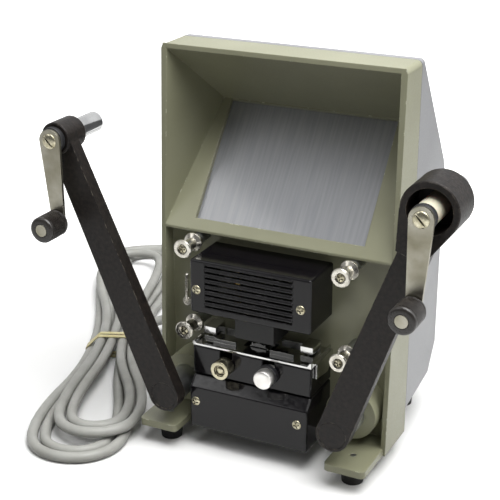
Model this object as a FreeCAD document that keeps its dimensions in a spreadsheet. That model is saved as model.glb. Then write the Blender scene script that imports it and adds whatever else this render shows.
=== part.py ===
"""Table-top viewer for 8 mm film with two folding winding arms.

Millimetres. X runs to the viewer's right, Y from the front to the back and Z up. While the pieces are
built, X = 0 is the middle of the housing, Y = 0 the foot of its front lip and Z = 0 the table. The
finished pieces are moved along X and Y, so that the origin ends under the middle of the whole viewer.
"""
import FreeCAD, Part
import Sketcher
import math
import os
from types import SimpleNamespace

SIZES = {
    # feet and base tray
    "foot_height": 12.5,
    "foot_radius": 7.8,
    "front_foot_x": 62.5,
    "front_foot_y": -14.0,
    "rear_foot_x": 55.0,
    "rear_foot_y": 93.0,
    "tray_half_width": 64.0,
    "tray_back": 104.0,
    "tray_height": 12.5,
    "tray_wall": 1.5,
    "tray_flange": 7.0,
    "cover_mouth_inset": 4.0,
    # front casting
    "housing_width": 155.0,
    "screen_to_top": 107.0,
    "lip_lean": 10.5,
    "joint_depth": 34.5,
    "casting_wall": 3.0,
    "corner_round": 3.5,
    "panel_depth": 14.5,
    "panel_wall": 3.0,
    "tab_inner": 50.0,
    "tab_outer": 76.0,
    "tab_reach": 31.0,
    "tab_thickness": 4.5,
    "tab_round": 3.0,
    "boss_radius": 16.0,
    "boss_reach": 5.0,
    # hood and screen
    "screen_depth": 10.0,
    "screen_base": 129.0,
    "screen_tilt": 38.0,
    "screen_width": 112.0,
    "screen_height": 80.8,
    "hood_mouth_depth": 5.0,
    "hood_depth": 60.0,
    "hood_overrun": 20.0,
    "hood_roof": 3.0,
    "hood_front_half": 75.0,
    "hood_back_half": 61.3,
    "shelf_drop": 7.4,
    "shelf_wall": 1.9,
    "glass_thickness": 2.5,
    "glass_overlap": 2.5,
    "clamp_border": 4.2,
    "clamp_wall": 1.6,
    # rear cover
    "cover_back": 107.0,
    "cover_back_half": 72.0,
    "cover_bottom": 14.0,
    "cover_top_flat": 41.0,
    "cover_slope_end": 103.0,
    "cover_slope_drop": 76.0,
    "cover_chamfer": 8.0,
    "cover_back_low": 31.0,
    "cover_under_back": 90.0,
    "cover_wall": 2.2,
    "cover_round": 3.0,
    "joint_gap": 0.3,
    # film boxes
    "box_left": 45.0,
    "box_right": 34.8,
    "box_wall": 1.8,
    "box_gap": 0.3,
    "lamp_front": 18.0,
    "lamp_to_shelf": 8.0,
    "lamp_height": 34.6,
    "louvre_count": 8,
    "louvre_pitch": 3.7,
    "louvre_gap": 1.9,
    "louvre_left": 35.0,
    "louvre_right": 23.0,
    "louvre_rise": 4.6,
    "stage_front": 15.7,
    "stage_low": 36.5,
    "stage_high": 56.0,
    "plinth_front": 21.0,
    "plinth_low": 1.8,
    "plinth_edge": 29.5,
    "plinth_top": 36.0,
    "plinth_top_front": 14.7,
    "box_screw_left": 40.6,
    "box_screw_right": 28.3,
    "lamp_screw_rise": 15.2,
    "plinth_screw_rise": 18.2,
    "screw_radius": 1.6,
    "screw_head_radius": 3.0,
    "screw_head_height": 1.2,
    "screw_play": 0.15,
    # film path
    "optical_x": -5.2,
    "film_height": 60.0,
    "drum_radius": 8.0,
    "drum_half_width": 3.4,
    "sprocket_width": 1.6,
    "tooth_count": 12,
    "tooth_height": 0.9,
    "tooth_width": 1.0,
    "drum_shaft_radius": 1.5,
    "running_play": 0.06,
    "track_thickness": 1.2,
    "guide_length": 8.0,
    "guide_height": 8.0,
    "guide_depth": 13.0,
    "film_slot_width": 8.6,
    "film_slot_height": 2.0,
    "rail_length": 15.5,
    "rail_inset": 11.0,
    "rail_width": 1.2,
    "rail_height": 2.4,
    "rail_spread": 9.2,
    "skirt_drop": 10.5,
    "skirt_front": 10.5,
    "skirt_back": 6.0,
    "roller_x": 51.5,
    "roller_low": 63.5,
    "roller_to_shelf": 4.1,
    "roller_front": 15.5,
    "roller_length": 15.0,
    "roller_radius": 5.9,
    "roller_core": 3.5,
    "roller_bore": 2.1,
    "post_radius": 2.0,
    "post_shoulder": 3.6,
    # lamp and optics
    "bulb_radius": 8.0,
    "bulb_rise": 18.5,
    "bulb_depth": 1.5,
    "bulb_glass_length": 22.0,
    "cap_radius": 7.2,
    "cap_length": 13.0,
    "socket_radius": 8.4,
    "socket_length": 11.0,
    "condenser_width": 26.0,
    "condenser_depth": 22.0,
    "condenser_drop": 15.0,
    "condenser_radius": 6.5,
    "condenser_thickness": 5.0,
    "stage_mirror_size": 4.4,
    "lens_height": 41.0,
    "lens_radius": 7.0,
    "lens_length": 26.0,
    "lens_start": 17.5,
    "lens_sleeve_radius": 10.0,
    "lens_sleeve_length": 14.0,
    "lens_travel": 1.5,
    "relay_depth": 60.0,
    "relay_tilt": 34.0,
    "relay_width": 44.0,
    "relay_length": 36.0,
    "main_mirror_depth": 90.0,
    "main_mirror_drop": 11.5,
    "main_mirror_tilt": 15.0,
    "main_mirror_width": 100.0,
    "main_mirror_length": 72.0,
    "mirror_thickness": 3.0,
    "bracket_wall": 1.2,
    "transformer_x": 38.0,
    "transformer_y": 60.0,
    "core_width": 32.0,
    "core_depth": 44.0,
    "core_height": 37.0,
    "core_limb": 7.0,
    "coil_bulge": 5.0,
    # controls
    "knob_height": 46.5,
    "focus_x": -22.0,
    "marker_x": 6.8,
    "knob_radius": 6.0,
    "knob_front": 25.0,
    "knob_gap": 0.4,
    "focus_shaft_radius": 2.0,
    "focus_shaft_end": 42.0,
    "focus_lug_thickness": 3.0,
    "marker_stem_radius": 3.2,
    "marker_travel": 3.0,
    "lever_x": -60.0,
    "lever_low": 74.0,
    "lever_length": 19.0,
    "lever_width": 2.4,
    "lever_thickness": 1.2,
    "lever_depth": 6.0,
    # winding arms
    "pivot_x": 56.3,
    "pivot_height": 26.0,
    "pivot_bolt_radius": 4.0,
    "pivot_head_radius": 8.6,
    "pivot_head_recess": 1.2,
    "spacer_radius": 9.0,
    "arm_front": 34.0,
    "arm_depth": 9.0,
    "arm_wall": 2.2,
    "arm_foot_radius": 10.25,
    "arm_top_half_width": 8.2,
    "left_arm_length": 171.0,
    "right_arm_length": 159.0,
    "left_arm_lean": 23.7,
    "right_arm_lean": 20.0,
    "hub_back": 17.0,
    "left_hub_radius": 9.8,
    "left_hub_front": 36.0,
    "right_hub_radius": 16.6,
    "right_hub_front": 42.0,
    "right_cup_radius": 12.8,
    "right_cup_floor": 22.0,
    "shaft_radius": 4.0,
    "spindle_radius": 6.35,
    "spindle_reach": 8.0,
    "bush_radius": 7.5,
    "collar_radius": 7.8,
    "collar_length": 4.0,
    "left_crank_front": 42.0,
    "right_crank_front": 55.0,
    "crank_thickness": 2.0,
    "crank_length": 50.0,
    "crank_head_radius": 7.0,
    "crank_end_radius": 4.3,
    "left_crank_swing": -3.6,
    "right_crank_swing": 2.2,
    "crank_screw_radius": 4.8,
    "crank_screw_height": 1.6,
    "grip_radius": 8.0,
    "grip_length": 18.0,
    "grip_pin_radius": 2.4,
    "grip_cap_radius": 3.9,
    "grip_recess": 1.0,
    # mains lead
    "cord_diameter": 7.0,
    "gland_x": -45.0,
    "gland_height": 40.0,
    "gland_radius": 7.0,
    "gland_tip_radius": 4.6,
    "gland_length": 28.0,
    "gland_flange": 3.0,
    "plug_length": 38.0,
    "plug_width": 26.0,
    "plug_height": 15.0,
    "plug_pin_radius": 2.0,
    "plug_pin_length": 19.0,
    "plug_pin_spread": 9.5,
    "hank_loops": 4,
    "hank_gap": 0.8,
    "hank_waist_x": -156.0,
    "hank_waist_y": 68.0,
    "hank_heading": 113.0,
    "front_lobe_reach": 121.0,
    "front_lobe_radius": 34.0,
    "front_lobe_shift": -4.0,
    "rear_lobe_reach": 172.0,
    "rear_lobe_radius": 35.0,
    "hank_inner_waist": 1.9,
    "upper_front_back": 14.0,
    "upper_front_side": 9.0,
    "upper_rear_back": 20.0,
    "upper_rear_side": -8.0,
    "waist_lift": 1.3,
    "tie_width": 6.0,
    "tie_thickness": 0.9,
    "tail_reach": 92.0,
    "tail_side": 57.0,
    "lead_last_run": 66.0,
    # place of the origin on the table
    "origin_x": -3.776,
    "origin_y": 31.0,
}

doc = FreeCAD.newDocument("film_viewer")
sheet = doc.addObject("Spreadsheet::Sheet", "sizes")
for row, (alias, number) in enumerate(SIZES.items(), start=1):
    sheet.set("A%d" % row, alias)
    sheet.set("B%d" % row, str(number))
    sheet.setAlias("B%d" % row, alias)
doc.recompute()


class Size:
    """A number together with the sheet expression that it comes from."""

    def __init__(self, number, text):
        self.number = float(number)
        self.text = text

    def join(self, sign, other, number):
        return Size(number, "(%s %s %s)" % (self.text, sign, other.text))

    def __add__(self, other):
        other = sized(other)
        return self.join("+", other, self.number + other.number)

    def __sub__(self, other):
        other = sized(other)
        return self.join("-", other, self.number - other.number)

    def __mul__(self, other):
        other = sized(other)
        return self.join("*", other, self.number * other.number)

    def __truediv__(self, other):
        other = sized(other)
        return self.join("/", other, self.number / other.number)

    def __radd__(self, other):
        return sized(other) + self

    def __rsub__(self, other):
        return sized(other) - self

    def __rmul__(self, other):
        return sized(other) * self

    def __neg__(self):
        return sized(0) - self


def sized(value):
    return value if isinstance(value, Size) else Size(value, repr(float(value)))


def sine(angle):
    return Size(math.sin(math.radians(angle.number)), "sin(%s)" % angle.text)


def cosine(angle):
    return Size(math.cos(math.radians(angle.number)), "cos(%s)" % angle.text)


s = SimpleNamespace(**{alias: Size(number, "sizes." + alias) for alias, number in SIZES.items()})
pieces = []


def bind(thing, name, size):
    """Tie one property to the sheet."""
    thing.setExpression(name, sized(size).text)


def place(thing, x=0, y=0, z=0, turn=None, axis=(0, 1, 0)):
    """Put an object at a bound place, turned by a bound angle about one axis."""
    turn = sized(0) if turn is None else turn
    at = FreeCAD.Vector(sized(x).number, sized(y).number, sized(z).number)
    thing.Placement = FreeCAD.Placement(at, FreeCAD.Rotation(FreeCAD.Vector(*axis), turn.number))
    for letter, size in zip("xyz", (x, y, z)):
        bind(thing, "Placement.Base." + letter, size)
    if turn.text != "0.0":
        bind(thing, "Placement.Rotation.Angle", turn)
    return thing


def piece(thing, label):
    """Give a finished sub-part its name."""
    thing.Label = label
    pieces.append(thing)
    return thing


def new_body(name):
    return doc.addObject("PartDesign::Body", name)


def plane_sketch(body, plane, offset=0):
    """A sketch on one of the body's own origin planes."""
    sketch = body.newObject("Sketcher::SketchObject", body.Name + "_sketch")
    origin_plane = [part for part in body.Origin.OriginFeatures if part.Role == plane][0]
    sketch.AttachmentSupport = [(origin_plane, "")]
    sketch.MapMode = "FlatFace"
    bind(sketch, "AttachmentOffset.Base.z", offset)
    return sketch


def pin_point(sketch, line, end, x, y):
    """Hold one end of a sketch line at a bound distance from the sketch's own origin."""
    for kind, size in (("DistanceX", x), ("DistanceY", y)):
        size = sized(size)
        index = sketch.addConstraint(Sketcher.Constraint(kind, -1, 1, line, end, size.number))
        sketch.setExpression("Constraints[%d]" % index, size.text)


def draw_outline(sketch, points):
    """A closed outline of straight lines through bound points."""
    corners = [FreeCAD.Vector(sized(x).number, sized(y).number, 0) for x, y in points]
    first = sketch.GeometryCount
    count = len(corners)
    for index in range(count):
        sketch.addGeometry(Part.LineSegment(corners[index], corners[(index + 1) % count]), False)
    for index in range(count):
        after = first + (index + 1) % count
        sketch.addConstraint(Sketcher.Constraint("Coincident", first + index, 2, after, 1))
    for index, (x, y) in enumerate(points):
        pin_point(sketch, first + index, 1, x, y)


def pad(body, sketch, length, middle=False, back=False):
    feature = body.newObject("PartDesign::Pad", body.Name + "_pad")
    feature.Profile = sketch
    bind(feature, "Length", length)
    feature.Midplane = middle
    feature.Reversed = back
    sketch.Visibility = False
    return feature


def slab(name, plane, points, length, offset=0, middle=False, back=False):
    """A body padded from one straight-sided outline."""
    body = new_body(name)
    sketch = plane_sketch(body, plane, offset)
    draw_outline(sketch, points)
    pad(body, sketch, length, middle, back)
    return body


def across(name, points, half_width):
    """A body with one outline in the YZ plane, as wide to the left as to the right."""
    return slab(name, "YZ_Plane", points, 2 * half_width, middle=True)


def turned(name, points, x=0, z=0, turn=None):
    """A body turned about the Y axis from (radius, Y) points, then moved to X and Z."""
    body = new_body(name)
    sketch = plane_sketch(body, "XY_Plane")
    draw_outline(sketch, points)
    feature = body.newObject("PartDesign::Revolution", name + "_turning")
    feature.Profile = sketch
    feature.ReferenceAxis = (sketch, ["V_Axis"])
    feature.Angle = 360
    place(body, x, 0, z, turn)
    return body


def block(name, x, y, z):
    """A box between two bound limits along each axis."""
    box = doc.addObject("Part::Box", name)
    for letter, side, (low, high) in zip("xyz", ("Length", "Width", "Height"), (x, y, z)):
        bind(box, side, sized(high) - low)
        bind(box, "Placement.Base." + letter, low)
    return box


def rod(name, radius, x, y, z, along="y"):
    """A cylinder along X, Y or Z: the limits come as a pair along its axis."""
    cylinder = doc.addObject("Part::Cylinder", name)
    bind(cylinder, "Radius", radius)
    ends = {"x": x, "y": y, "z": z}[along]
    bind(cylinder, "Height", sized(ends[1]) - ends[0])
    axis, angle = {"x": ((0, 1, 0), 90), "y": ((1, 0, 0), -90), "z": ((0, 0, 1), 0)}[along]
    cylinder.Placement = FreeCAD.Placement(FreeCAD.Vector(), FreeCAD.Rotation(FreeCAD.Vector(*axis), angle))
    spot = {"x": x, "y": y, "z": z}
    spot[along] = ends[0]
    for letter in "xyz":
        bind(cylinder, "Placement.Base." + letter, spot[letter])
    return cylinder


def joined(name, *parts):
    fusion = doc.addObject("Part::MultiFuse", name)
    fusion.Shapes = list(parts)
    return fusion


def cut(name, base, *tools):
    """One solid less others."""
    result = doc.addObject("Part::Cut", name)
    result.Base = base
    result.Tool = tools[0] if len(tools) == 1 else joined(name + "_tools", *tools)
    return result


def shared(name, *parts):
    common = doc.addObject("Part::MultiCommon", name)
    common.Shapes = list(parts)
    return common


def rounded(name, base, radius, wanted):
    """Round the edges that the test picks."""
    doc.recompute()
    picked = [(index, radius.number, radius.number)
              for index, edge in enumerate(base.Shape.Edges, start=1) if wanted(edge)]
    result = doc.addObject("Part::Fillet", name)
    result.Base = base
    result.Edges = picked
    return result


def group(name, *parts):
    """Several separate solids kept as one sub-part."""
    compound = doc.addObject("Part::Compound", name)
    compound.Links = list(parts)
    return compound


def edge_runs(edge, letter):
    """Whether a straight edge runs along one axis."""
    if edge.Curve.TypeId != "Part::GeomLine":
        return False
    return abs(abs(getattr(edge.Curve.Direction, letter)) - 1) < 1e-6


def heights(value):
    """A height given above the housing's base, as a height above the table."""
    return s.foot_height + value


# Housing: front casting with its hood, sill, panel, tabs and arm bosses
base = s.foot_height
housing_height = s.screen_base + s.screen_to_top
shelf_low = s.screen_base - s.shelf_drop
top = heights(housing_height)
half = s.housing_width / 2
tilt_up = cosine(s.screen_tilt)
tilt_back = sine(s.screen_tilt)


def on_screen_plane(along, behind=0):
    """A (Y, Z) point of the tilted screen's plane: so far up it and so far behind it."""
    y = s.screen_depth + along * tilt_back + behind * tilt_up
    z = heights(s.screen_base) + along * tilt_up - behind * tilt_back
    return y, z


def hood_profile(grow):
    """Side view of the hood's inside, or of its outside with the wall added."""
    deep = (s.hood_depth - s.screen_depth) / tilt_back
    corner_height = s.screen_base + deep * tilt_up
    slope = (housing_height - s.hood_roof - corner_height) / (s.hood_depth - s.lip_lean)
    corner = on_screen_plane(deep + grow, grow)
    front_y = s.screen_depth - s.hood_overrun
    return [on_screen_plane(-s.hood_overrun, grow), corner, (front_y, corner[1] + slope * (corner[0] - front_y))]


def hood_plan(grow):
    """Plan of the hood, narrowing towards the screen."""
    slope = (s.hood_front_half - s.hood_back_half) / (s.hood_depth - s.hood_mouth_depth)
    near = s.screen_depth - s.hood_overrun
    far = s.hood_depth + s.hood_overrun
    near_half = s.hood_front_half + slope * (s.hood_mouth_depth - near) + grow
    far_half = s.hood_front_half + slope * (s.hood_mouth_depth - far) + grow
    return [(-near_half, near), (near_half, near), (far_half, far), (-far_half, far)]


def hood_solid(name, grow):
    profile = across(name + "_profile", hood_profile(grow), half)
    plan = slab(name + "_plan", "XY_Plane", hood_plan(grow), 2 * top)
    return shared(name, profile, plan)


shell_outer = across("shell_outer", [
    (0, base), (s.joint_depth, base), (s.joint_depth, top), (s.lip_lean, top)], half)
shell_soft = rounded("shell_soft", shell_outer, s.corner_round,
                     lambda edge: not edge_runs(edge, "x") and edge.BoundBox.ZMax > top.number - 1
                     and edge.BoundBox.YLength < s.joint_depth.number and edge.BoundBox.ZLength < 1)
hood_outer = hood_solid("hood_outer", s.casting_wall)
hood_inner = hood_solid("hood_inner", sized(0))
inner_half = half - s.casting_wall
panel_back = s.panel_depth + s.panel_wall
rear_void = block("rear_void", (-inner_half, inner_half), (panel_back, s.joint_depth + 1),
                  (base + s.tab_thickness, top - s.casting_wall))
glass_void = block("glass_void", (-inner_half, inner_half), (s.hood_mouth_depth, s.joint_depth + 1),
                   (heights(shelf_low) + s.shelf_wall, top - s.casting_wall))
rear_hollow = cut("rear_hollow", joined("rear_room", rear_void, glass_void), hood_outer)
front_void = block("front_void", (-inner_half, inner_half), (-1, s.panel_depth),
                   (base + s.tab_thickness, heights(shelf_low)))
floor_void = block("floor_void", (-s.tab_inner, s.tab_inner), (-1, s.panel_depth), (base - 1, base + s.tab_thickness))
shell_open = cut("shell_open", shell_soft, rear_hollow, front_void, floor_void)
shelf_z = heights(shelf_low)
lip_at_shelf = s.lip_lean * shelf_low / housing_height
hood_wall = shared("hood_wall", hood_outer, across("hood_limit", [
    (lip_at_shelf, shelf_z), (s.hood_depth + s.hood_overrun, shelf_z), (s.hood_depth + s.hood_overrun, top),
    (s.lip_lean, top)], half - 0.5))
tabs = []
for side, sign in (("left", -1), ("right", 1)):
    low, high = (-s.tab_outer, -s.tab_inner) if sign < 0 else (s.tab_inner, s.tab_outer)
    square_tab = block(side + "_tab_square", (low, high), (-s.tab_reach, 1), (base, base + s.tab_thickness))
    tabs.append(rounded(side + "_tab", square_tab, s.tab_round,
                        lambda edge: edge_runs(edge, "z") and edge.BoundBox.YMax < 0))
pivot_z = heights(s.pivot_height)
bosses = [rod(side + "_boss", s.boss_radius, sign * s.pivot_x, (-s.boss_reach, panel_back), pivot_z)
          for side, sign in (("left", -1), ("right", 1))]
lens_z = heights(s.lens_height)
lens_sleeve = rod("lens_sleeve", s.lens_sleeve_radius, s.optical_x,
                  (panel_back, panel_back + s.lens_sleeve_length), lens_z)
lamp_high = shelf_z - s.lamp_to_shelf
lamp_low = lamp_high - s.lamp_height
plinth_low = heights(s.plinth_low)
box_pocket = block("box_pocket", (-s.box_left - s.box_gap, s.box_right + s.box_gap), (-s.tab_reach, s.panel_depth),
                   (base - 1, lamp_high))
window_low = on_screen_plane(0, -1)
window_high = on_screen_plane(s.screen_height, -1)
window_high_back = on_screen_plane(s.screen_height, s.casting_wall + 1)
window_low_back = on_screen_plane(0, s.casting_wall + 1)
window = across("window", [window_low, window_high, window_high_back, window_low_back], s.screen_width / 2)
through = (-s.boss_reach - 1, panel_back + 1)
holes = [rod(side + "_pivot_hole", s.pivot_bolt_radius + s.screw_play, sign * s.pivot_x, through, pivot_z)
         for side, sign in (("left", -1), ("right", 1))]
roller_high = shelf_z - s.roller_to_shelf
roller_low = heights(s.roller_low)
ROLLERS = [(name, sign * s.roller_x, z)
           for name, sign, z in (("upper_left", -1, roller_high), ("upper_right", 1, roller_high),
                                 ("lower_left", -1, roller_low), ("lower_right", 1, roller_low))]
holes += [rod(name + "_post_hole", s.post_radius + s.screw_play, x, through, z) for name, x, z in ROLLERS]
lamp_screw_z = lamp_low + s.lamp_screw_rise
plinth_screw_z = plinth_low + s.plinth_screw_rise
BOX_SCREWS = [("lamp_left", -s.box_screw_left, lamp_screw_z, s.lamp_front),
              ("lamp_right", s.box_screw_right, lamp_screw_z, s.lamp_front),
              ("plinth_left", -s.box_screw_left, plinth_screw_z, s.plinth_front),
              ("plinth_right", s.box_screw_right, plinth_screw_z, s.plinth_front)]
holes += [rod(name + "_screw_hole", s.screw_radius + s.screw_play, x, through, z) for name, x, z, front in BOX_SCREWS]
sleeve_through = (s.panel_depth - 1, panel_back + s.lens_sleeve_length + 1)
holes.append(rod("lens_hole", s.lens_radius + s.running_play, s.optical_x, sleeve_through, lens_z))
drum_z = heights(s.film_height) - s.drum_radius
holes.append(rod("drum_hole", s.drum_shaft_radius + s.running_play, s.optical_x, through, drum_z))
knob_z = heights(s.knob_height)
holes.append(rod("focus_hole", s.focus_shaft_radius + s.running_play, s.focus_x, through, knob_z))
lever_z = heights(s.lever_low)
holes.append(rod("lever_hole", s.drum_shaft_radius + s.running_play, s.lever_x, through, lever_z))
for side, sign in (("left", -1), ("right", 1)):
    holes.append(rod(side + "_foot_hole", s.screw_radius + s.screw_play, sign * s.front_foot_x,
                     s.front_foot_y, (base - 1, base + s.tab_thickness + 1), along="z"))
casting_body = joined("casting_body", shell_open, hood_wall, lens_sleeve, *tabs)
casting_with_bosses = joined("casting_with_bosses", casting_body, *[cut(boss.Name + "_cut", boss, box_pocket)
                                                                    for boss in bosses])
piece(cut("front_casting_solid", casting_with_bosses, hood_inner, window, *holes), "front_casting")

# Screen glass and the clamp that holds it behind the hood
glass_back = s.casting_wall + s.glass_thickness


def screen_slab(name, border, near, far, half_width):
    """A slab parallel to the screen, between two distances behind its plane."""
    corners = [on_screen_plane(-border, near), on_screen_plane(s.screen_height + border, near),
               on_screen_plane(s.screen_height + border, far), on_screen_plane(-border, far)]
    return across(name, corners, half_width)


glass_half = s.screen_width / 2 + s.glass_overlap
piece(screen_slab("glass_body", s.glass_overlap, s.casting_wall, glass_back, glass_half), "screen_glass")
clamp_back = glass_back + s.clamp_wall
clamp_block = screen_slab("clamp_block", s.clamp_border, s.casting_wall, clamp_back,
                          s.screen_width / 2 + s.clamp_border)
clamp_seat = screen_slab("clamp_seat", s.glass_overlap + s.box_gap, s.casting_wall - 1, glass_back,
                         glass_half + s.box_gap)
clamp_window = screen_slab("clamp_window", sized(0), s.casting_wall - 1, clamp_back + 1, s.screen_width / 2)
clamp_foot = block("clamp_foot", (-half, half), (s.hood_mouth_depth, s.joint_depth),
                   (shelf_z, on_screen_plane(s.clamp_border, clamp_back)[1]))
piece(cut("clamp_bridge", clamp_block, clamp_seat, clamp_window, clamp_foot), "screen_clamp")


# Rear cover and base tray
def cover_profile(inset):
    """Side view of the rear cover, or of its inside."""
    start = s.joint_depth + s.joint_gap - (0 if inset is None else 1)
    inset = sized(0) if inset is None else inset
    low = heights(s.cover_bottom) + inset
    return [(start, low), (s.cover_under_back - inset * 0.4, low),
            (s.cover_back - inset, heights(s.cover_back_low) + inset * 0.4),
            (s.cover_back - inset, top - s.cover_slope_drop - s.cover_chamfer - inset * 0.4),
            (s.cover_slope_end - inset, top - s.cover_slope_drop - inset * 0.6),
            (s.cover_top_flat - inset * 0.5, top - inset), (start, top - inset)]


def cover_plan(inset):
    front = s.joint_depth - 2
    slope = (half - s.cover_back_half) / (s.cover_back - s.joint_depth)
    near_half = half + slope * 2 - inset
    far_half = s.cover_back_half - slope * 5 - inset
    return [(-near_half, front), (near_half, front), (far_half, s.cover_back + 5), (-far_half, s.cover_back + 5)]


def cover_solid(name, inset):
    profile = across(name + "_profile", cover_profile(inset), half + 1)
    plan = slab(name + "_plan", "XY_Plane", cover_plan(sized(0) if inset is None else inset), 2 * top)
    return shared(name, profile, plan)


joint_y = s.joint_depth + s.joint_gap
cover_outer = cover_solid("cover_outer", None)
cover_soft = rounded("cover_soft", cover_outer, s.cover_round,
                     lambda edge: edge.BoundBox.YMin > joint_y.number + 1 or edge.BoundBox.YLength > 1)
cover_inner = cover_solid("cover_inner", s.cover_wall)
opening_half = s.tray_half_width - s.cover_mouth_inset
cover_mouth = block("cover_mouth", (-opening_half, opening_half), (joint_y - 1, s.cover_under_back - s.cover_mouth_inset),
                    (base, heights(s.cover_bottom) + s.cover_wall + 1))
gland_z = heights(s.gland_height)
gland_hole = rod("gland_hole", s.gland_radius - s.gland_flange + s.screw_play, s.gland_x,
                 (s.cover_back - 10, s.cover_back + 1), gland_z)
TRAY_SCREWS = [(name, sign * (s.tray_half_width + s.tray_flange / 2), y)
               for name, sign, y in (("front_left", -1, joint_y + 10), ("front_right", 1, joint_y + 10),
                                     ("rear_left", -1, s.cover_under_back - 8), ("rear_right", 1, s.cover_under_back - 8))]
tray_top = base + s.tray_height
tray_screw_holes = [rod(name + "_tray_screw_hole", s.screw_radius + s.screw_play, x, y,
                        (base, heights(s.cover_bottom) + s.cover_wall + 1), along="z") for name, x, y in TRAY_SCREWS]
piece(cut("rear_cover_solid", cover_soft, cover_inner, cover_mouth, gland_hole, *tray_screw_holes), "rear_cover")

tray_body = block("tray_block", (-s.tray_half_width, s.tray_half_width), (joint_y, s.tray_back), (base, tray_top))
tray_room = block("tray_room", (-s.tray_half_width + s.tray_wall, s.tray_half_width - s.tray_wall),
                  (joint_y + s.tray_wall, s.tray_back - s.tray_wall), (base + s.tray_wall, tray_top + 1))
tray_pan = cut("tray_pan", tray_body, tray_room)
flange_low = heights(s.cover_bottom) - s.tray_wall
flange_half = s.tray_half_width + s.tray_flange
tray_flanges = [block(side + "_tray_flange", limits, (joint_y, s.cover_under_back - s.cover_mouth_inset),
                      (flange_low, heights(s.cover_bottom)))
                for side, limits in (("left", (-flange_half, -s.tray_half_width + s.tray_wall)),
                                     ("right", (s.tray_half_width - s.tray_wall, flange_half)))]
tray_holes = [rod(side + "_rear_foot_hole", s.screw_radius + s.screw_play, sign * s.rear_foot_x, s.rear_foot_y,
                  (base - 1, base + s.tray_wall + 1), along="z") for side, sign in (("left", -1), ("right", 1))]
tray_cuts = tray_holes + tray_screw_holes
piece(cut("base_tray_solid", joined("tray_pressing", tray_pan, *tray_flanges), *tray_cuts), "base_tray")


def foot(name, x, y):
    """A rubber foot, a little narrower at the table, with a sunk hole for its screw."""
    radius = s.foot_radius
    rim = 1.2
    body = new_body(name)
    sketch = plane_sketch(body, "XZ_Plane")
    draw_outline(sketch, [(s.screw_radius + s.screw_play, base / 2), (s.screw_head_radius + s.screw_play, base / 2),
                          (s.screw_head_radius + s.screw_play, 0), (radius - rim, 0),
                          (radius, base - rim * 0.5), (radius - rim * 0.4, base),
                          (s.screw_radius + s.screw_play, base)])
    feature = body.newObject("PartDesign::Revolution", name + "_turning")
    feature.Profile = sketch
    feature.ReferenceAxis = (sketch, ["V_Axis"])
    feature.Angle = 360
    return place(body, x, y, 0)


def pan_screw(name, length, head_radius, head_height, shank_radius):
    """A screw with a domed head. Its shank runs along Y from the head at Y = 0."""
    return turned(name, [(0, length), (shank_radius, length), (shank_radius, 0), (head_radius, 0),
                         (head_radius, -head_height * 0.4), (head_radius * 0.65, -head_height), (0, -head_height)])


feet = []
foot_screws = []
for name, x, y, seat in (("front_left", -s.front_foot_x, s.front_foot_y, s.tab_thickness),
                         ("front_right", s.front_foot_x, s.front_foot_y, s.tab_thickness),
                         ("rear_left", -s.rear_foot_x, s.rear_foot_y, s.tray_wall),
                         ("rear_right", s.rear_foot_x, s.rear_foot_y, s.tray_wall)):
    feet.append(foot(name + "_foot", x, y))
    screw = pan_screw(name + "_foot_screw", base / 2 + seat, s.screw_head_radius, s.screw_head_height * 1.5,
                      s.screw_radius)
    foot_screws.append(place(screw, x, y, base / 2, sized(90), (1, 0, 0)))
piece(group("foot_group", *feet), "rubber_feet")
piece(group("foot_screw_group", *foot_screws), "foot_screws")
tray_screws = []
for name, x, y in TRAY_SCREWS:
    screw = pan_screw(name + "_tray_screw", s.tray_wall + s.cover_wall, s.screw_head_radius, s.screw_head_height * 1.5,
                      s.screw_radius)
    tray_screws.append(place(screw, x, y, flange_low, sized(90), (1, 0, 0)))
piece(group("tray_screw_group", *tray_screws), "cover_screws")

# Lamp house with its louvres
screw_hole = s.screw_radius + s.screw_play
box_round = s.box_wall * 0.8


def front_box(name, front, low, high, wall):
    """A box shell that stands open against the front panel."""
    outer = block(name + "_outer", (-s.box_left, s.box_right), (-front, s.panel_depth), (low, high))
    soft = rounded(name + "_soft", outer, box_round, lambda edge: edge.BoundBox.YMax < s.panel_depth.number - 1
                   or (edge_runs(edge, "y")))
    room = block(name + "_room", (-s.box_left + wall, s.box_right - wall), (-front + wall, s.panel_depth + 1),
                 (low + wall, high - wall))
    return cut(name + "_shell", soft, room)


lamp_shell = front_box("lamp", s.lamp_front, lamp_low, lamp_high, s.box_wall)
louvre_cuts = []
for step in range(int(s.louvre_count.number)):
    low = lamp_low + s.louvre_rise + step * s.louvre_pitch
    louvre_cuts.append(block("louvre_%d" % step, (-s.louvre_left, s.louvre_right),
                             (-s.lamp_front - 1, -s.lamp_front + s.box_wall + 1), (low, low + s.louvre_gap)))
lamp_posts = [rod(name + "_post", s.screw_head_radius + 0.4, x, (-front + s.box_wall * 0.5, s.panel_depth), z)
              for name, x, z, front in BOX_SCREWS[:2]]
lamp_holes = [rod(name + "_post_bore", screw_hole, x, (-front - 1, s.panel_depth + 1), z)
              for name, x, z, front in BOX_SCREWS[:2]]
light_hole = block("light_hole", (s.optical_x - s.condenser_radius, s.optical_x + s.condenser_radius),
                   (-s.condenser_radius, s.condenser_radius), (lamp_low - 1, lamp_low + s.box_wall + 1))
piece(cut("lamp_house_solid", joined("lamp_with_posts", lamp_shell, *lamp_posts), light_hole, *louvre_cuts,
          *lamp_holes), "lamp_house")

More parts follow.
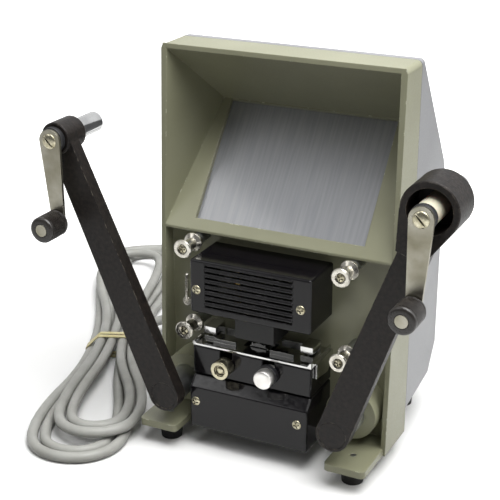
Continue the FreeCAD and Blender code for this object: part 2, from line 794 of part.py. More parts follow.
# Film stage: prism housing, chrome track and guides
stage_low = heights(s.stage_low)
stage_high = heights(s.stage_high)
stage_shell = front_box("stage", s.stage_front, stage_low, stage_high, s.box_wall)
slot_half = s.knob_radius * 0.7
stage_cuts = []
for name, x in (("focus", s.focus_x), ("marker", s.marker_x)):
    stage_cuts.append(rod(name + "_slot_round", slot_half, x, (-s.stage_front - 1, -s.stage_front + s.box_wall + 1), knob_z))
    stage_cuts.append(block(name + "_slot", (x - slot_half, x + slot_half),
                            (-s.stage_front - 1, -s.stage_front + s.box_wall + 1), (knob_z, stage_high + 1)))
drum_room = s.drum_radius + s.tooth_height + 0.8
drum_front = s.drum_half_width + s.sprocket_width + 1
stage_cuts.append(block("drum_mouth", (s.optical_x - drum_room, s.optical_x + drum_room), (-drum_front, drum_front),
                        (stage_high - s.box_wall - 1, stage_high + 1)))
bearing_hole = rod("bearing_hole", s.drum_shaft_radius + s.running_play, s.optical_x,
                   (-s.stage_front + s.box_wall * 0.5, -s.stage_front + s.box_wall + 1), drum_z)
piece(cut("prism_housing_solid", stage_shell, bearing_hole, *stage_cuts), "prism_housing")

track_top = stage_high + s.track_thickness
track_plate = block("track_sheet", (-s.box_left, s.box_right), (-s.stage_front, s.panel_depth - s.box_gap),
                    (stage_high, track_top))
track_mouth = block("track_mouth", (s.optical_x - drum_room, s.optical_x + drum_room), (-drum_front, drum_front),
                    (stage_high - 1, track_top + s.rail_height + 1))
track_ends = []
for side, near, sign, lift in (("left", -s.box_left, 1, 1), ("right", s.box_right, -1, 2)):
    track_ends.append(slab(side + "_track_end", "XZ_Plane", [
        (near, stage_high), (near, track_top + lift * s.track_thickness),
        (near + sign * s.track_thickness * 0.8, track_top + lift * s.track_thickness),
        (near + sign * s.track_thickness * 2.2, track_top), (near + sign * s.track_thickness * 2.2, stage_high)],
        s.stage_front + s.panel_depth - s.box_gap, offset=-s.panel_depth + s.box_gap))
skirt = slab("track_skirt", "YZ_Plane", [
    (-s.skirt_front, track_top), (-s.skirt_front, stage_high - s.skirt_drop * 0.8),
    (s.skirt_back, stage_high - s.skirt_drop), (s.panel_depth - s.box_gap, stage_high - s.skirt_drop * 0.5),
    (s.panel_depth - s.box_gap, track_top)], s.track_thickness, offset=s.box_right + s.joint_gap)
skirt_bend = block("skirt_bend", (s.box_right - 1, s.box_right + s.joint_gap + s.track_thickness),
                   (-s.skirt_front, s.panel_depth - s.box_gap), (stage_high + 0.1, track_top))
rails = []
for side, start in (("left", -s.box_left + s.rail_inset), ("right", s.optical_x + drum_room)):
    for place_name, y in (("front", -s.rail_spread), ("back", s.rail_spread - s.rail_width)):
        rails.append(block(side + "_" + place_name + "_rail", (start, start + s.rail_length), (y, y + s.rail_width),
                           (track_top - 0.2, track_top + s.rail_height)))
track_bent = joined("track_bent", track_plate, skirt, skirt_bend, *track_ends, *rails)
piece(cut("track_solid", track_bent, track_mouth), "film_track")

guides = []
guide_front = -s.guide_depth / 2
for side, x in (("left", -s.box_left + s.track_thickness + 2), ("right", s.box_right - s.track_thickness - 2 - s.guide_length)):
    solid = block(side + "_guide_block", (x, x + s.guide_length), (guide_front, -guide_front),
                  (track_top, track_top + s.guide_height))
    slot = block(side + "_guide_slot", (x - 1, x + s.guide_length + 1), (-s.film_slot_width / 2, s.film_slot_width / 2),
                 (heights(s.film_height) - s.film_slot_height / 2, heights(s.film_height) + s.film_slot_height / 2))
    mouth = block(side + "_guide_mouth", (x - 1, x + s.guide_length + 1), (guide_front - 1, -s.film_slot_width / 2 + 0.5),
                  (heights(s.film_height) - s.film_slot_height / 2, heights(s.film_height) + s.film_slot_height / 2))
    guides.append(cut(side + "_guide", solid, slot, mouth))
piece(group("guide_pair", *guides), "film_guides")

# Rotating prism and its sprocket
shaft_front = -s.stage_front + s.box_wall * 0.6
drum_half = s.drum_half_width
prism_body = new_body("prism_body")
prism_sketch = plane_sketch(prism_body, "XZ_Plane", offset=-drum_half)
facets = int(s.tooth_count.number)
prism_corner = s.drum_radius - 1.2
draw_outline(prism_sketch, [(prism_corner * math.cos(2 * math.pi * step / facets),
                             prism_corner * math.sin(2 * math.pi * step / facets)) for step in range(facets)])
pad(prism_body, prism_sketch, 2 * drum_half)
place(prism_body, s.optical_x, 0, drum_z)
prism_bore = rod("prism_bore", s.drum_shaft_radius, s.optical_x, (-drum_half - 1, drum_half + 1), drum_z)
piece(cut("prism_solid", prism_body, prism_bore), "rotating_prism")
sprocket_disc = turned("sprocket_disc", [
    (0, shaft_front), (s.drum_shaft_radius, shaft_front), (s.drum_shaft_radius, -drum_half - s.sprocket_width),
    (s.drum_radius, -drum_half - s.sprocket_width), (s.drum_radius, -drum_half), (s.drum_shaft_radius, -drum_half),
    (s.drum_shaft_radius, drum_half), (s.drum_radius, drum_half), (s.drum_radius, drum_half + s.sprocket_width),
    (s.drum_shaft_radius, drum_half + s.sprocket_width), (s.drum_shaft_radius, panel_back), (0, panel_back)],
    s.optical_x, drum_z)
tooth_body = new_body("tooth_body")
tooth_sketch = plane_sketch(tooth_body, "XZ_Plane", offset=drum_half + s.sprocket_width * 0.2)
tooth_root = s.drum_radius - 0.6
draw_outline(tooth_sketch, [(-s.tooth_width / 2, tooth_root), (s.tooth_width / 2, tooth_root),
                            (s.tooth_width * 0.3, s.drum_radius + s.tooth_height),
                            (-s.tooth_width * 0.3, s.drum_radius + s.tooth_height)])
tooth_pad = pad(tooth_body, tooth_sketch, s.sprocket_width * 0.6)
teeth = [tooth_body]
place(tooth_body, s.optical_x, 0, drum_z)
for step in range(1, facets):
    copy = doc.addObject("Part::Feature", "tooth_%d" % step)
    teeth.append(copy)
doc.recompute()
for step, copy in enumerate(teeth[1:], start=1):
    copy.Shape = tooth_body.Shape.copy()
    centre = FreeCAD.Vector(s.optical_x.number, 0, drum_z.number)
    turn_by = FreeCAD.Placement(FreeCAD.Vector(), FreeCAD.Rotation(FreeCAD.Vector(0, 1, 0), 360.0 * step / facets), centre)
    copy.Placement = turn_by.multiply(tooth_body.Placement)
piece(joined("sprocket_solid", sprocket_disc, *teeth), "film_sprocket")

# Lower cover below the film stage
plinth_outline = [(s.panel_depth, plinth_low), (-s.plinth_front, plinth_low), (-s.plinth_front, heights(s.plinth_edge)),
                  (-s.plinth_top_front, heights(s.plinth_top)), (s.panel_depth, heights(s.plinth_top))]


def boxed_slab(name, points, inset):
    """A slab between the film boxes' left and right sides."""
    return slab(name, "YZ_Plane", points, s.box_left + s.box_right - 2 * inset, offset=-s.box_left + inset)


plinth_outer = boxed_slab("plinth_outer", plinth_outline, sized(0))
plinth_soft = rounded("plinth_soft", plinth_outer, box_round,
                      lambda edge: edge.BoundBox.YMax < s.panel_depth.number - 1 or edge_runs(edge, "y"))
plinth_room = boxed_slab("plinth_room", [
    (s.panel_depth + 1, plinth_low + s.box_wall), (-s.plinth_front + s.box_wall, plinth_low + s.box_wall),
    (-s.plinth_front + s.box_wall, heights(s.plinth_edge) - s.box_wall * 0.4),
    (-s.plinth_top_front + s.box_wall * 0.4, heights(s.plinth_top) - s.box_wall),
    (s.panel_depth + 1, heights(s.plinth_top) - s.box_wall)], s.box_wall)
plinth_posts = [rod(name + "_post", s.screw_head_radius + 0.4, x, (-front + s.box_wall * 0.5, s.panel_depth), z)
                for name, x, z, front in BOX_SCREWS[2:]]
plinth_holes = [rod(name + "_post_bore", screw_hole, x, (-front - 1, s.panel_depth + 1), z)
                for name, x, z, front in BOX_SCREWS[2:]]
piece(cut("lower_cover_solid", joined("plinth_with_posts", cut("plinth_shell", plinth_soft, plinth_room),
                                      *plinth_posts), *plinth_holes), "lower_cover")
box_screws = []
for name, x, z, front in BOX_SCREWS:
    screw = pan_screw(name + "_screw", front + panel_back, s.screw_head_radius, s.screw_head_height, s.screw_radius)
    box_screws.append(place(screw, x, -front, z))
piece(group("box_screw_group", *box_screws), "box_screws")

# Lamp, socket and condenser
bulb_z = lamp_low + s.bulb_rise
bulb_y = s.bulb_depth - s.box_wall
glass_left = s.optical_x - s.bulb_glass_length / 2
glass_right = s.optical_x + s.bulb_glass_length / 2


def turned_along_x(name, points, y, z):
    """A body turned about the X axis from (X, radius) points."""
    body = new_body(name)
    sketch = plane_sketch(body, "XY_Plane")
    draw_outline(sketch, points)
    feature = body.newObject("PartDesign::Revolution", name + "_turning")
    feature.Profile = sketch
    feature.ReferenceAxis = (sketch, ["H_Axis"])
    feature.Angle = 360
    return place(body, 0, y, z)


piece(turned_along_x("bulb_body", [
    (glass_left, 0), (glass_left, s.cap_radius * 0.9), (glass_left + 4, s.bulb_radius), (glass_right - 5, s.bulb_radius),
    (glass_right - 1.5, s.bulb_radius * 0.7), (glass_right, 0)], bulb_y, bulb_z), "lamp_bulb")
cap_left = glass_left - s.cap_length
piece(turned_along_x("cap_body", [(cap_left, 0), (cap_left, s.cap_radius), (glass_left, s.cap_radius), (glass_left, 0)],
                     bulb_y, bulb_z), "bulb_cap")
socket_left = cap_left - 1.5
socket_tube = turned_along_x("socket_tube", [
    (socket_left, 0), (socket_left, s.socket_radius), (socket_left + s.socket_length, s.socket_radius),
    (socket_left + s.socket_length, s.cap_radius), (cap_left, s.cap_radius), (cap_left, 0)], bulb_y, bulb_z)
socket_foot = block("socket_foot", (socket_left + 2, socket_left + 2 + s.core_limb),
                    (bulb_y + s.cap_radius + 0.4, s.panel_depth), (bulb_z - 5, bulb_z + 5))
piece(joined("socket_solid", socket_tube, socket_foot), "lamp_socket")
condenser_left = s.optical_x - s.condenser_width / 2
condenser_right = s.optical_x + s.condenser_width / 2
condenser_low = lamp_low - s.condenser_drop
condenser_block = block("condenser_block", (condenser_left, condenser_right),
                        (-s.condenser_depth / 2, s.condenser_depth / 2), (condenser_low, lamp_low))
condenser_seat_low = lamp_low - s.condenser_thickness - 2
condenser_step = rod("condenser_step", s.condenser_radius - 1.2, s.optical_x, sized(0),
                     (condenser_low - 1, condenser_seat_low), along="z")
condenser_wide = rod("condenser_wide", s.condenser_radius, s.optical_x, sized(0),
                     (condenser_seat_low, lamp_low + 1), along="z")
piece(cut("condenser_holder_solid", condenser_block, condenser_step, condenser_wide), "condenser_holder")
condenser_lens = new_body("condenser_lens_body")
lens_sketch = plane_sketch(condenser_lens, "XZ_Plane")
draw_outline(lens_sketch, [(0, 0), (s.condenser_radius - 0.1, 0), (s.condenser_radius - 0.1, 1.4),
                           (s.condenser_radius * 0.75, s.condenser_thickness * 0.7),
                           (s.condenser_radius * 0.4, s.condenser_thickness * 0.94), (0, s.condenser_thickness)])
lens_turning = condenser_lens.newObject("PartDesign::Revolution", "condenser_lens_turning")
lens_turning.Profile = lens_sketch
lens_turning.ReferenceAxis = (lens_sketch, ["V_Axis"])
lens_turning.Angle = 360
place(condenser_lens, s.optical_x, 0, condenser_seat_low)
piece(condenser_lens, "condenser_lens")

# Mirrors, lens and their brackets
mirror_low = stage_low + s.box_wall
mirror_half = s.stage_mirror_size / 2
piece(slab("stage_mirror_body", "YZ_Plane", [
    (-mirror_half, mirror_low), (mirror_half, mirror_low), (-mirror_half, mirror_low + s.stage_mirror_size)],
    s.core_limb + 3, offset=s.optical_x - 5), "stage_mirror")
lens_end = s.lens_start + s.lens_length
barrel_wall = 1.2
lens_tube = turned("lens_tube", [
    (s.lens_radius - barrel_wall, s.lens_start), (s.lens_radius, s.lens_start), (s.lens_radius, lens_end),
    (s.lens_radius - barrel_wall, lens_end)], s.optical_x, lens_z)
lug_far = panel_back + s.lens_sleeve_length + s.lens_travel + 1
lug_limits = (lug_far, lug_far + s.focus_lug_thickness)
lug = slab("focus_lug", "XZ_Plane", [
    (s.optical_x - s.lens_radius * 0.6, lens_z + 3), (s.optical_x - s.lens_radius * 0.6, lens_z - 3.4),
    (s.focus_x - 1.5, knob_z - s.focus_shaft_radius - 2.2), (s.focus_x - s.focus_shaft_radius - 2.2, knob_z - 2),
    (s.focus_x - s.focus_shaft_radius - 2.2, knob_z + s.focus_shaft_radius + 2.2),
    (s.focus_x + 3, knob_z + s.focus_shaft_radius + 2.2)],
    s.focus_lug_thickness, offset=-lug_far, back=True)
lug_bore = rod("focus_lug_bore", s.focus_shaft_radius + s.running_play, s.focus_x, (lug_far - 1, lug_far + 5), knob_z)
lens_room = rod("lens_room", s.lens_radius - barrel_wall, s.optical_x, (lug_far - 1, lug_far + 5), lens_z)
piece(cut("lens_barrel_solid", joined("lens_with_lug", lens_tube, lug), lug_bore, lens_room), "lens_barrel")
element_radius = s.lens_radius - barrel_wall
elements = []
for name, start in (("front_element", s.lens_start + 1.5), ("rear_element", lens_end - 6)):
    elements.append(turned(name, [(0, start), (element_radius, start + 1.2), (element_radius, start + 3), (0, start + 4)],
                           s.optical_x, lens_z))
piece(group("element_pair", *elements), "lens_elements")


def tilted_plate(name, y, z, tilt, length, near, far, width):
    """A plate in the light path: tilt is its lean from level, its face looks up and forward."""
    up = sine(tilt)
    along = cosine(tilt)
    corners = []
    for step, drop in ((-0.5, near), (0.5, near), (0.5, far), (-0.5, far)):
        corners.append((y + length * step * along + drop * up, z + length * step * up - drop * along))
    return slab(name, "YZ_Plane", corners, width, offset=s.optical_x - width / 2)


relay_z = lens_z
piece(tilted_plate("relay_mirror_body", s.relay_depth, relay_z, s.relay_tilt, s.relay_length, 0, s.mirror_thickness,
                   s.relay_width), "relay_mirror")
relay_plate = tilted_plate("relay_plate", s.relay_depth, relay_z, s.relay_tilt, s.relay_length - 4, s.mirror_thickness,
                           s.mirror_thickness + s.bracket_wall, s.relay_width - 8)
tray_floor = base + s.tray_wall
relay_back_y = s.relay_depth + (s.relay_length / 2 - 4) * cosine(s.relay_tilt) + s.mirror_thickness * sine(s.relay_tilt)
relay_back_z = relay_z + (s.relay_length / 2 - 4) * sine(s.relay_tilt) - (s.mirror_thickness + 1.6) * cosine(s.relay_tilt)
relay_leg = block("relay_leg", (s.optical_x - s.relay_width / 2 + 4, s.optical_x + s.relay_width / 2 - 4),
                  (relay_back_y - s.bracket_wall, relay_back_y), (tray_floor, relay_back_z))
relay_foot = block("relay_foot", (s.optical_x - s.relay_width / 2 + 4, s.optical_x + s.relay_width / 2 - 4),
                   (relay_back_y - s.bracket_wall, relay_back_y + 10), (tray_floor, tray_floor + s.bracket_wall))
piece(joined("relay_bracket_solid", relay_plate, relay_leg, relay_foot), "relay_mirror_bracket")
main_tilt = 90 + s.main_mirror_tilt
main_z = heights(s.screen_base) - s.main_mirror_drop
piece(tilted_plate("main_mirror_body", s.main_mirror_depth, main_z, main_tilt, s.main_mirror_length, 0,
                   s.mirror_thickness, s.main_mirror_width), "main_mirror")
main_plate = tilted_plate("main_plate", s.main_mirror_depth, main_z, main_tilt, s.main_mirror_length - 8,
                          s.mirror_thickness, s.mirror_thickness + s.bracket_wall, s.main_mirror_width - 10)
stay_z = main_z + s.main_mirror_length * 0.22
stays = []
for side, x in (("left", s.optical_x - s.main_mirror_width * 0.3), ("right", s.optical_x + s.main_mirror_width * 0.3)):
    for level, z, reach in (("high", stay_z, 2), ("low", main_z - s.main_mirror_length * 0.3, 2)):
        start = s.main_mirror_depth - (z - main_z) * sine(s.main_mirror_tilt) / cosine(s.main_mirror_tilt) + reach + 1.5
        stays.append(block(side + "_" + level + "_stay", (x - 5, x + 5), (start, s.cover_back - s.cover_wall),
                           (z, z + s.bracket_wall * 2)))
piece(joined("main_bracket_solid", main_plate, *stays), "main_mirror_bracket")

# Transformer on the tray
core_left = s.transformer_x - s.core_width / 2
core_right = s.transformer_x + s.core_width / 2
core_front = s.transformer_y - s.core_depth / 2
core_back = s.transformer_y + s.core_depth / 2
core_block = block("core_block", (core_left, core_right), (core_front, core_back),
                   (tray_floor, tray_floor + s.core_height))
window_span = (s.core_depth - 3 * s.core_limb) / 2
core_windows = [block(name, (core_left - 1, core_right + 1), (y, y + window_span),
                      (tray_floor + s.core_limb, tray_floor + s.core_height - s.core_limb))
                for name, y in (("front_window", core_front + s.core_limb),
                                ("back_window", core_back - s.core_limb - window_span))]
piece(cut("core_solid", core_block, *core_windows), "transformer_core")
coil_grow = window_span - 0.4
coil_block = block("coil_block", (core_left - s.coil_bulge, core_right + s.coil_bulge),
                   (s.transformer_y - s.core_limb / 2 - coil_grow, s.transformer_y + s.core_limb / 2 + coil_grow),
                   (tray_floor + s.core_limb + 0.2, tray_floor + s.core_height - s.core_limb - 0.2))
coil_room = block("coil_room", (core_left, core_right),
                  (s.transformer_y - s.core_limb / 2, s.transformer_y + s.core_limb / 2),
                  (tray_floor, tray_floor + s.core_height))
piece(cut("coil_solid", coil_block, coil_room), "transformer_coil")

# Focus knob, marker button and lamp switch lever
knob_back = -s.stage_front - s.knob_gap
piece(turned("focus_knob_body", [
    (0, -s.knob_front + 1.6), (s.knob_radius * 0.56, -s.knob_front + 1.6), (s.knob_radius * 0.56, -s.knob_front),
    (s.knob_radius - 0.4, -s.knob_front), (s.knob_radius, -s.knob_front + 0.5), (s.knob_radius, knob_back),
    (s.focus_shaft_radius, knob_back), (s.focus_shaft_radius, s.focus_shaft_end), (0, s.focus_shaft_end)],
    s.focus_x, knob_z), "focus_knob")
marker_end = -s.stage_front + s.box_wall + 2
marker_back = -s.stage_front - s.knob_gap - s.marker_travel
piece(turned("marker_button_body", [
    (0, -s.knob_front - 0.4), (s.knob_radius * 0.7, -s.knob_front - 0.2), (s.knob_radius, -s.knob_front + 0.7),
    (s.knob_radius, marker_back), (s.marker_stem_radius, marker_back), (s.marker_stem_radius, marker_end),
    (s.marker_stem_radius + 1.6, marker_end), (s.marker_stem_radius + 1.6, marker_end + 1), (1.6, marker_end + 1),
    (1.6, marker_end + 3), (0, marker_end + 3)], s.marker_x, knob_z), "marker_button")
spring_start = marker_end + 1 + 0.2
piece(turned("marker_spring_body", [
    (1.9, spring_start), (2.6, spring_start), (2.6, s.panel_depth), (1.9, s.panel_depth)], s.marker_x, knob_z),
    "marker_spring")
lever_plate = block("lever_plate", (s.lever_x - s.lever_width / 2, s.lever_x + s.lever_width / 2),
                    (s.lever_depth - s.lever_thickness, s.lever_depth), (lever_z, lever_z + s.lever_length))
lever_eye = rod("lever_eye", s.lever_width * 1.3, s.lever_x, (s.lever_depth - s.lever_thickness, s.lever_depth), lever_z)
lever_pin = rod("lever_pin", s.drum_shaft_radius, s.lever_x, (s.lever_depth - s.lever_thickness - 0.8, panel_back),
                lever_z)
piece(joined("lever_solid", lever_plate, lever_eye, lever_pin), "lamp_switch_lever")

# Film rollers, their posts and screws
post_length = s.roller_front - s.roller_length
roller_back = -post_length
flange = 1.4
for name, x, z in ROLLERS:
    piece(turned(name + "_roller_body", [
        (s.roller_bore, -s.roller_front + 1.5), (s.roller_core * 0.95, -s.roller_front + 1.5),
        (s.roller_core * 0.95, -s.roller_front), (s.roller_radius - 0.6, -s.roller_front),
        (s.roller_radius, -s.roller_front + 0.6), (s.roller_radius, -s.roller_front + flange),
        (s.roller_core, -s.roller_front + flange + 1.6), (s.roller_core, roller_back - flange - 1.6),
        (s.roller_radius, roller_back - flange), (s.roller_radius, roller_back), (s.roller_bore, roller_back)],
        x, z), name + "_roller")
posts = []
roller_screws = []
for name, x, z in ROLLERS:
    post_front = -s.roller_front + 1.5
    posts.append(turned(name + "_post_body", [
        (0, post_front), (s.post_radius, post_front), (s.post_radius, roller_back + s.box_gap),
        (s.post_shoulder, roller_back + s.box_gap), (s.post_shoulder, s.panel_depth), (s.post_radius, s.panel_depth),
        (s.post_radius, panel_back), (0, panel_back)], x, z))
    screw = turned(name + "_cap_screw", [
        (0, post_front), (s.roller_core * 0.8, post_front), (s.roller_core * 0.8, post_front - 0.5),
        (s.roller_core * 0.5, post_front - 1.1), (0, post_front - 1.3)], x, z)
    roller_screws.append(screw)
piece(group("post_group", *posts), "roller_posts")
piece(group("roller_screw_group", *roller_screws), "roller_screws")

# Winding arms
arm_back = -s.arm_front + s.arm_depth
ARMS = [("left", -1, s.left_arm_length, -s.left_arm_lean, s.left_hub_radius, s.left_hub_front, s.left_crank_front,
         s.left_crank_swing),
        ("right", 1, s.right_arm_length, s.right_arm_lean, s.right_hub_radius, s.right_hub_front, s.right_crank_front,
         s.right_crank_swing)]
for side, sign, length, lean, hub_radius, hub_front, crank_front, swing in ARMS:
    pivot = sign * s.pivot_x
    beam = slab(side + "_beam", "XZ_Plane", [
        (-s.arm_foot_radius, 0), (s.arm_foot_radius, 0), (s.arm_top_half_width, length),
        (-s.arm_top_half_width, length)], s.arm_depth, offset=s.arm_front - s.arm_depth)
    beam_foot = turned(side + "_beam_foot", [(0, -s.arm_front), (s.arm_foot_radius, -s.arm_front),
                                             (s.arm_foot_radius, arm_back), (0, arm_back)])
    hollow = slab(side + "_hollow", "XZ_Plane", [
        (-s.arm_foot_radius + s.arm_wall, s.arm_foot_radius + 3), (s.arm_foot_radius - s.arm_wall, s.arm_foot_radius + 3),
        (s.arm_top_half_width - s.arm_wall, length - hub_radius - 2),
        (-s.arm_top_half_width + s.arm_wall, length - hub_radius - 2)],
        s.arm_depth - s.arm_wall + 1, offset=s.arm_front - s.arm_depth - 1)
    hub = turned(side + "_hub", [(0, -hub_front), (hub_radius - 0.6, -hub_front), (hub_radius, -hub_front + 0.6),
                                 (hub_radius, -s.hub_back - 0.6), (hub_radius - 0.6, -s.hub_back), (0, -s.hub_back)])
    hub.setExpression("Placement.Base.z", length.text)
    arm_parts = [beam, beam_foot, hub]
    if side == "right":
        teardrop = slab("right_teardrop", "XZ_Plane", [
            (-hub_radius * 0.94, length - hub_radius * 0.35), (hub_radius * 0.94, length - hub_radius * 0.35),
            (s.arm_top_half_width, length - hub_radius * 1.75), (-s.arm_top_half_width, length - hub_radius * 1.75)],
            s.right_hub_front - s.arm_front + s.arm_depth, offset=s.arm_front - s.arm_depth)
        arm_parts.append(teardrop)
    bore_through = rod(side + "_bolt_bore", s.pivot_bolt_radius + s.running_play, 0, (-s.arm_front - 1, arm_back + 1), 0)
    cap_recess = rod(side + "_cap_recess", s.pivot_head_radius + s.running_play, 0,
                     (-s.arm_front - 1, -s.arm_front + s.pivot_head_recess), 0)
    shaft_bore = rod(side + "_shaft_bore", s.shaft_radius + s.running_play, 0, (-hub_front - 1, -s.hub_back + 1), length)
    arm_cuts = [hollow, bore_through, cap_recess, shaft_bore]
    if side == "right":
        arm_cuts.append(rod("right_cup", s.right_cup_radius, 0, (-hub_front - 1, -s.right_cup_floor), length))
    arm = cut(side + "_arm_solid", joined(side + "_arm_parts", *arm_parts), *arm_cuts)
    piece(place(arm, pivot, 0, pivot_z, lean), side + "_arm")

    # shoulder bolt with its flush round head, and the spacer sleeve behind the arm
    bolt = turned(side + "_bolt", [
        (0, -s.arm_front + 0.2), (s.pivot_head_radius, -s.arm_front + 0.2),
        (s.pivot_head_radius, -s.arm_front + s.pivot_head_recess), (s.pivot_bolt_radius, -s.arm_front + s.pivot_head_recess),
        (s.pivot_bolt_radius, panel_back), (0, panel_back)], pivot, pivot_z)
    piece(bolt, side + "_arm_bolt")
    sleeve = turned(side + "_sleeve", [
        (s.pivot_bolt_radius + s.screw_play, arm_back + s.box_gap), (s.spacer_radius, arm_back + s.box_gap),
        (s.spacer_radius, -s.boss_reach), (s.pivot_bolt_radius + s.screw_play, -s.boss_reach)], pivot, pivot_z)
    piece(sleeve, side + "_arm_spacer")

    # shaft with the spindle at its back and the collar at its front
    hub_x = pivot + length * sine(lean)
    hub_z = pivot_z + length * cosine(lean)
    crank_back = -crank_front + s.crank_thickness
    collar_front = crank_back
    bush_front = -hub_front - s.box_gap if side == "left" else -s.right_cup_floor - s.box_gap
    lead_in = 1.2
    shaft_points = [
        (0, collar_front), (s.collar_radius, collar_front), (s.collar_radius, collar_front + s.collar_length * 0.9)]
    if side == "right":
        shaft_points += [(s.bush_radius, collar_front + s.collar_length), (s.bush_radius, bush_front)]
        shaft_points += [(s.shaft_radius, bush_front)]
    else:
        shaft_points = [(0, collar_front), (s.collar_radius, collar_front), (s.collar_radius, bush_front),
                        (s.shaft_radius, bush_front)]
    seat = -s.hub_back + s.box_gap
    shaft_points += [(s.shaft_radius, seat), (s.spindle_radius, seat), (s.spindle_radius, s.spindle_reach - lead_in),
                     (s.spindle_radius - lead_in, s.spindle_reach), (0, s.spindle_reach)]
    piece(turned(side + "_spindle_body", shaft_points, hub_x, hub_z), side + "_spindle")

    # crank plate, its head screw, the grip and its pin
    crank_plate = slab(side + "_crank_plate", "XZ_Plane", [
        (-s.crank_head_radius, 0), (s.crank_head_radius, 0), (s.crank_end_radius, -s.crank_length),
        (-s.crank_end_radius, -s.crank_length)], s.crank_thickness, offset=crank_front - s.crank_thickness)
    head_disc = rod(side + "_crank_head", s.crank_head_radius, 0, (-crank_front, crank_back), 0)
    end_disc = rod(side + "_crank_end", s.crank_end_radius, 0, (-crank_front, crank_back), -s.crank_length)
    grip_front = -crank_front - s.grip_length
    pin_end = grip_front + s.grip_recess - 0.4
    pin = rod(side + "_grip_pin", s.grip_pin_radius, 0, (pin_end, crank_back), -s.crank_length)
    pin_cap = rod(side + "_grip_pin_cap", s.grip_cap_radius - 0.15, 0, (grip_front, grip_front + s.grip_recess - 0.15),
                  -s.crank_length)
    crank = joined(side + "_crank_solid", crank_plate, head_disc, end_disc, pin, pin_cap)
    piece(place(crank, hub_x, 0, hub_z, swing), side + "_crank")
    head_screw = pan_screw(side + "_head_screw", sized(0.01), s.crank_screw_radius, s.crank_screw_height,
                           s.crank_screw_radius * 0.9)
    piece(place(head_screw, hub_x, -crank_front - 0.01, hub_z), side + "_crank_screw")
    grip_bore = s.grip_pin_radius + s.running_play
    grip_back = -crank_front - s.box_gap
    grip = turned(side + "_grip_body", [
        (grip_bore, grip_front + s.grip_recess), (s.grip_cap_radius, grip_front + s.grip_recess),
        (s.grip_cap_radius, grip_front), (s.grip_radius - 1.2, grip_front), (s.grip_radius, grip_front + 1),
        (s.grip_radius, grip_back - 1.2), (s.grip_radius - 1.8, grip_back), (grip_bore, grip_back)],
        hub_x + s.crank_length * sine(-swing), hub_z - s.crank_length * cosine(swing))
    piece(grip, side + "_grip")

# Mains lead: strain relief, free stretch, hank, its rubber band and the plug
gland_back = s.cover_back
gland_neck = s.gland_radius - s.gland_flange
cord_radius = s.cord_diameter / 2
gland_bore = cord_radius + s.running_play
gland_tip_y = gland_back + s.gland_length
gland = turned("gland_body", [
    (gland_bore, gland_back - s.cover_wall - s.gland_flange), (gland_neck, gland_back - s.cover_wall - s.gland_flange),
    (gland_neck, gland_back), (s.gland_radius, gland_back), (s.gland_radius, gland_back + s.gland_flange),
    (s.gland_tip_radius + 1, gland_back + s.gland_flange + 1), (s.gland_tip_radius, gland_tip_y),
    (gland_bore, gland_tip_y)], s.gland_x, gland_z)
piece(gland, "cord_strain_relief")

wire_radius = cord_radius.number
loops = s.hank_loops.number
layer_rise = s.cord_diameter.number + s.hank_gap.number
step_in = layer_rise + 0.2
heading = math.radians(s.hank_heading.number)
along_hank = FreeCAD.Vector(math.cos(heading), math.sin(heading), 0)
across_hank = FreeCAD.Vector(math.sin(heading), -math.cos(heading), 0)
waist_centre = FreeCAD.Vector(s.hank_waist_x.number, s.hank_waist_y.number, 0)


def hank_point(forward, side, height):
    """A place in the hank's own directions: from its waist to the rear, to the right and up."""
    return waist_centre + along_hank * forward + across_hank * side + FreeCAD.Vector(0, 0, height)


def arc_to(start, heading_in, corner, end):
    """The arc from start to end whose end tangents meet in the corner."""
    chord = end - start
    if (corner - (start + end) * 0.5).Length < 1e-6 * chord.Length:
        return Part.LineSegment(start, end).toShape()
    normal = heading_in.cross(chord)
    inward = normal.cross(heading_in).normalize()
    radius = chord.dot(chord) / (2 * chord.dot(inward))
    centre = start + inward * radius
    middle = centre + ((start + end) * 0.5 - centre).normalize() * abs(radius)
    return Part.Arc(start, middle, end).toShape()


def biarc(start, heading_in, end, heading_out):
    """Two arcs that leave and arrive along the given headings."""
    chord = end - start
    both = heading_in + heading_out
    a = both.dot(both) - 4
    b = -2 * chord.dot(both)
    c = chord.dot(chord)
    reach = -c / b if abs(a) < 1e-9 else (-b - math.sqrt(b * b - 4 * a * c)) / (2 * a)
    if reach < 0:
        reach = (-b + math.sqrt(b * b - 4 * a * c)) / (2 * a)
    corner_in = start + heading_in * reach
    corner_out = end - heading_out * reach
    joint = (corner_in + corner_out) * 0.5
    heading_joint = (corner_out - corner_in).normalize()
    return [arc_to(start, heading_in, corner_in, joint), arc_to(joint, heading_joint, corner_out, end)]


def waist_side(depth):
    """How far from the hank's middle a turn of this depth passes at the waist."""
    return s.hank_inner_waist.number + (loops / 2 + 0.25 - depth) * layer_rise


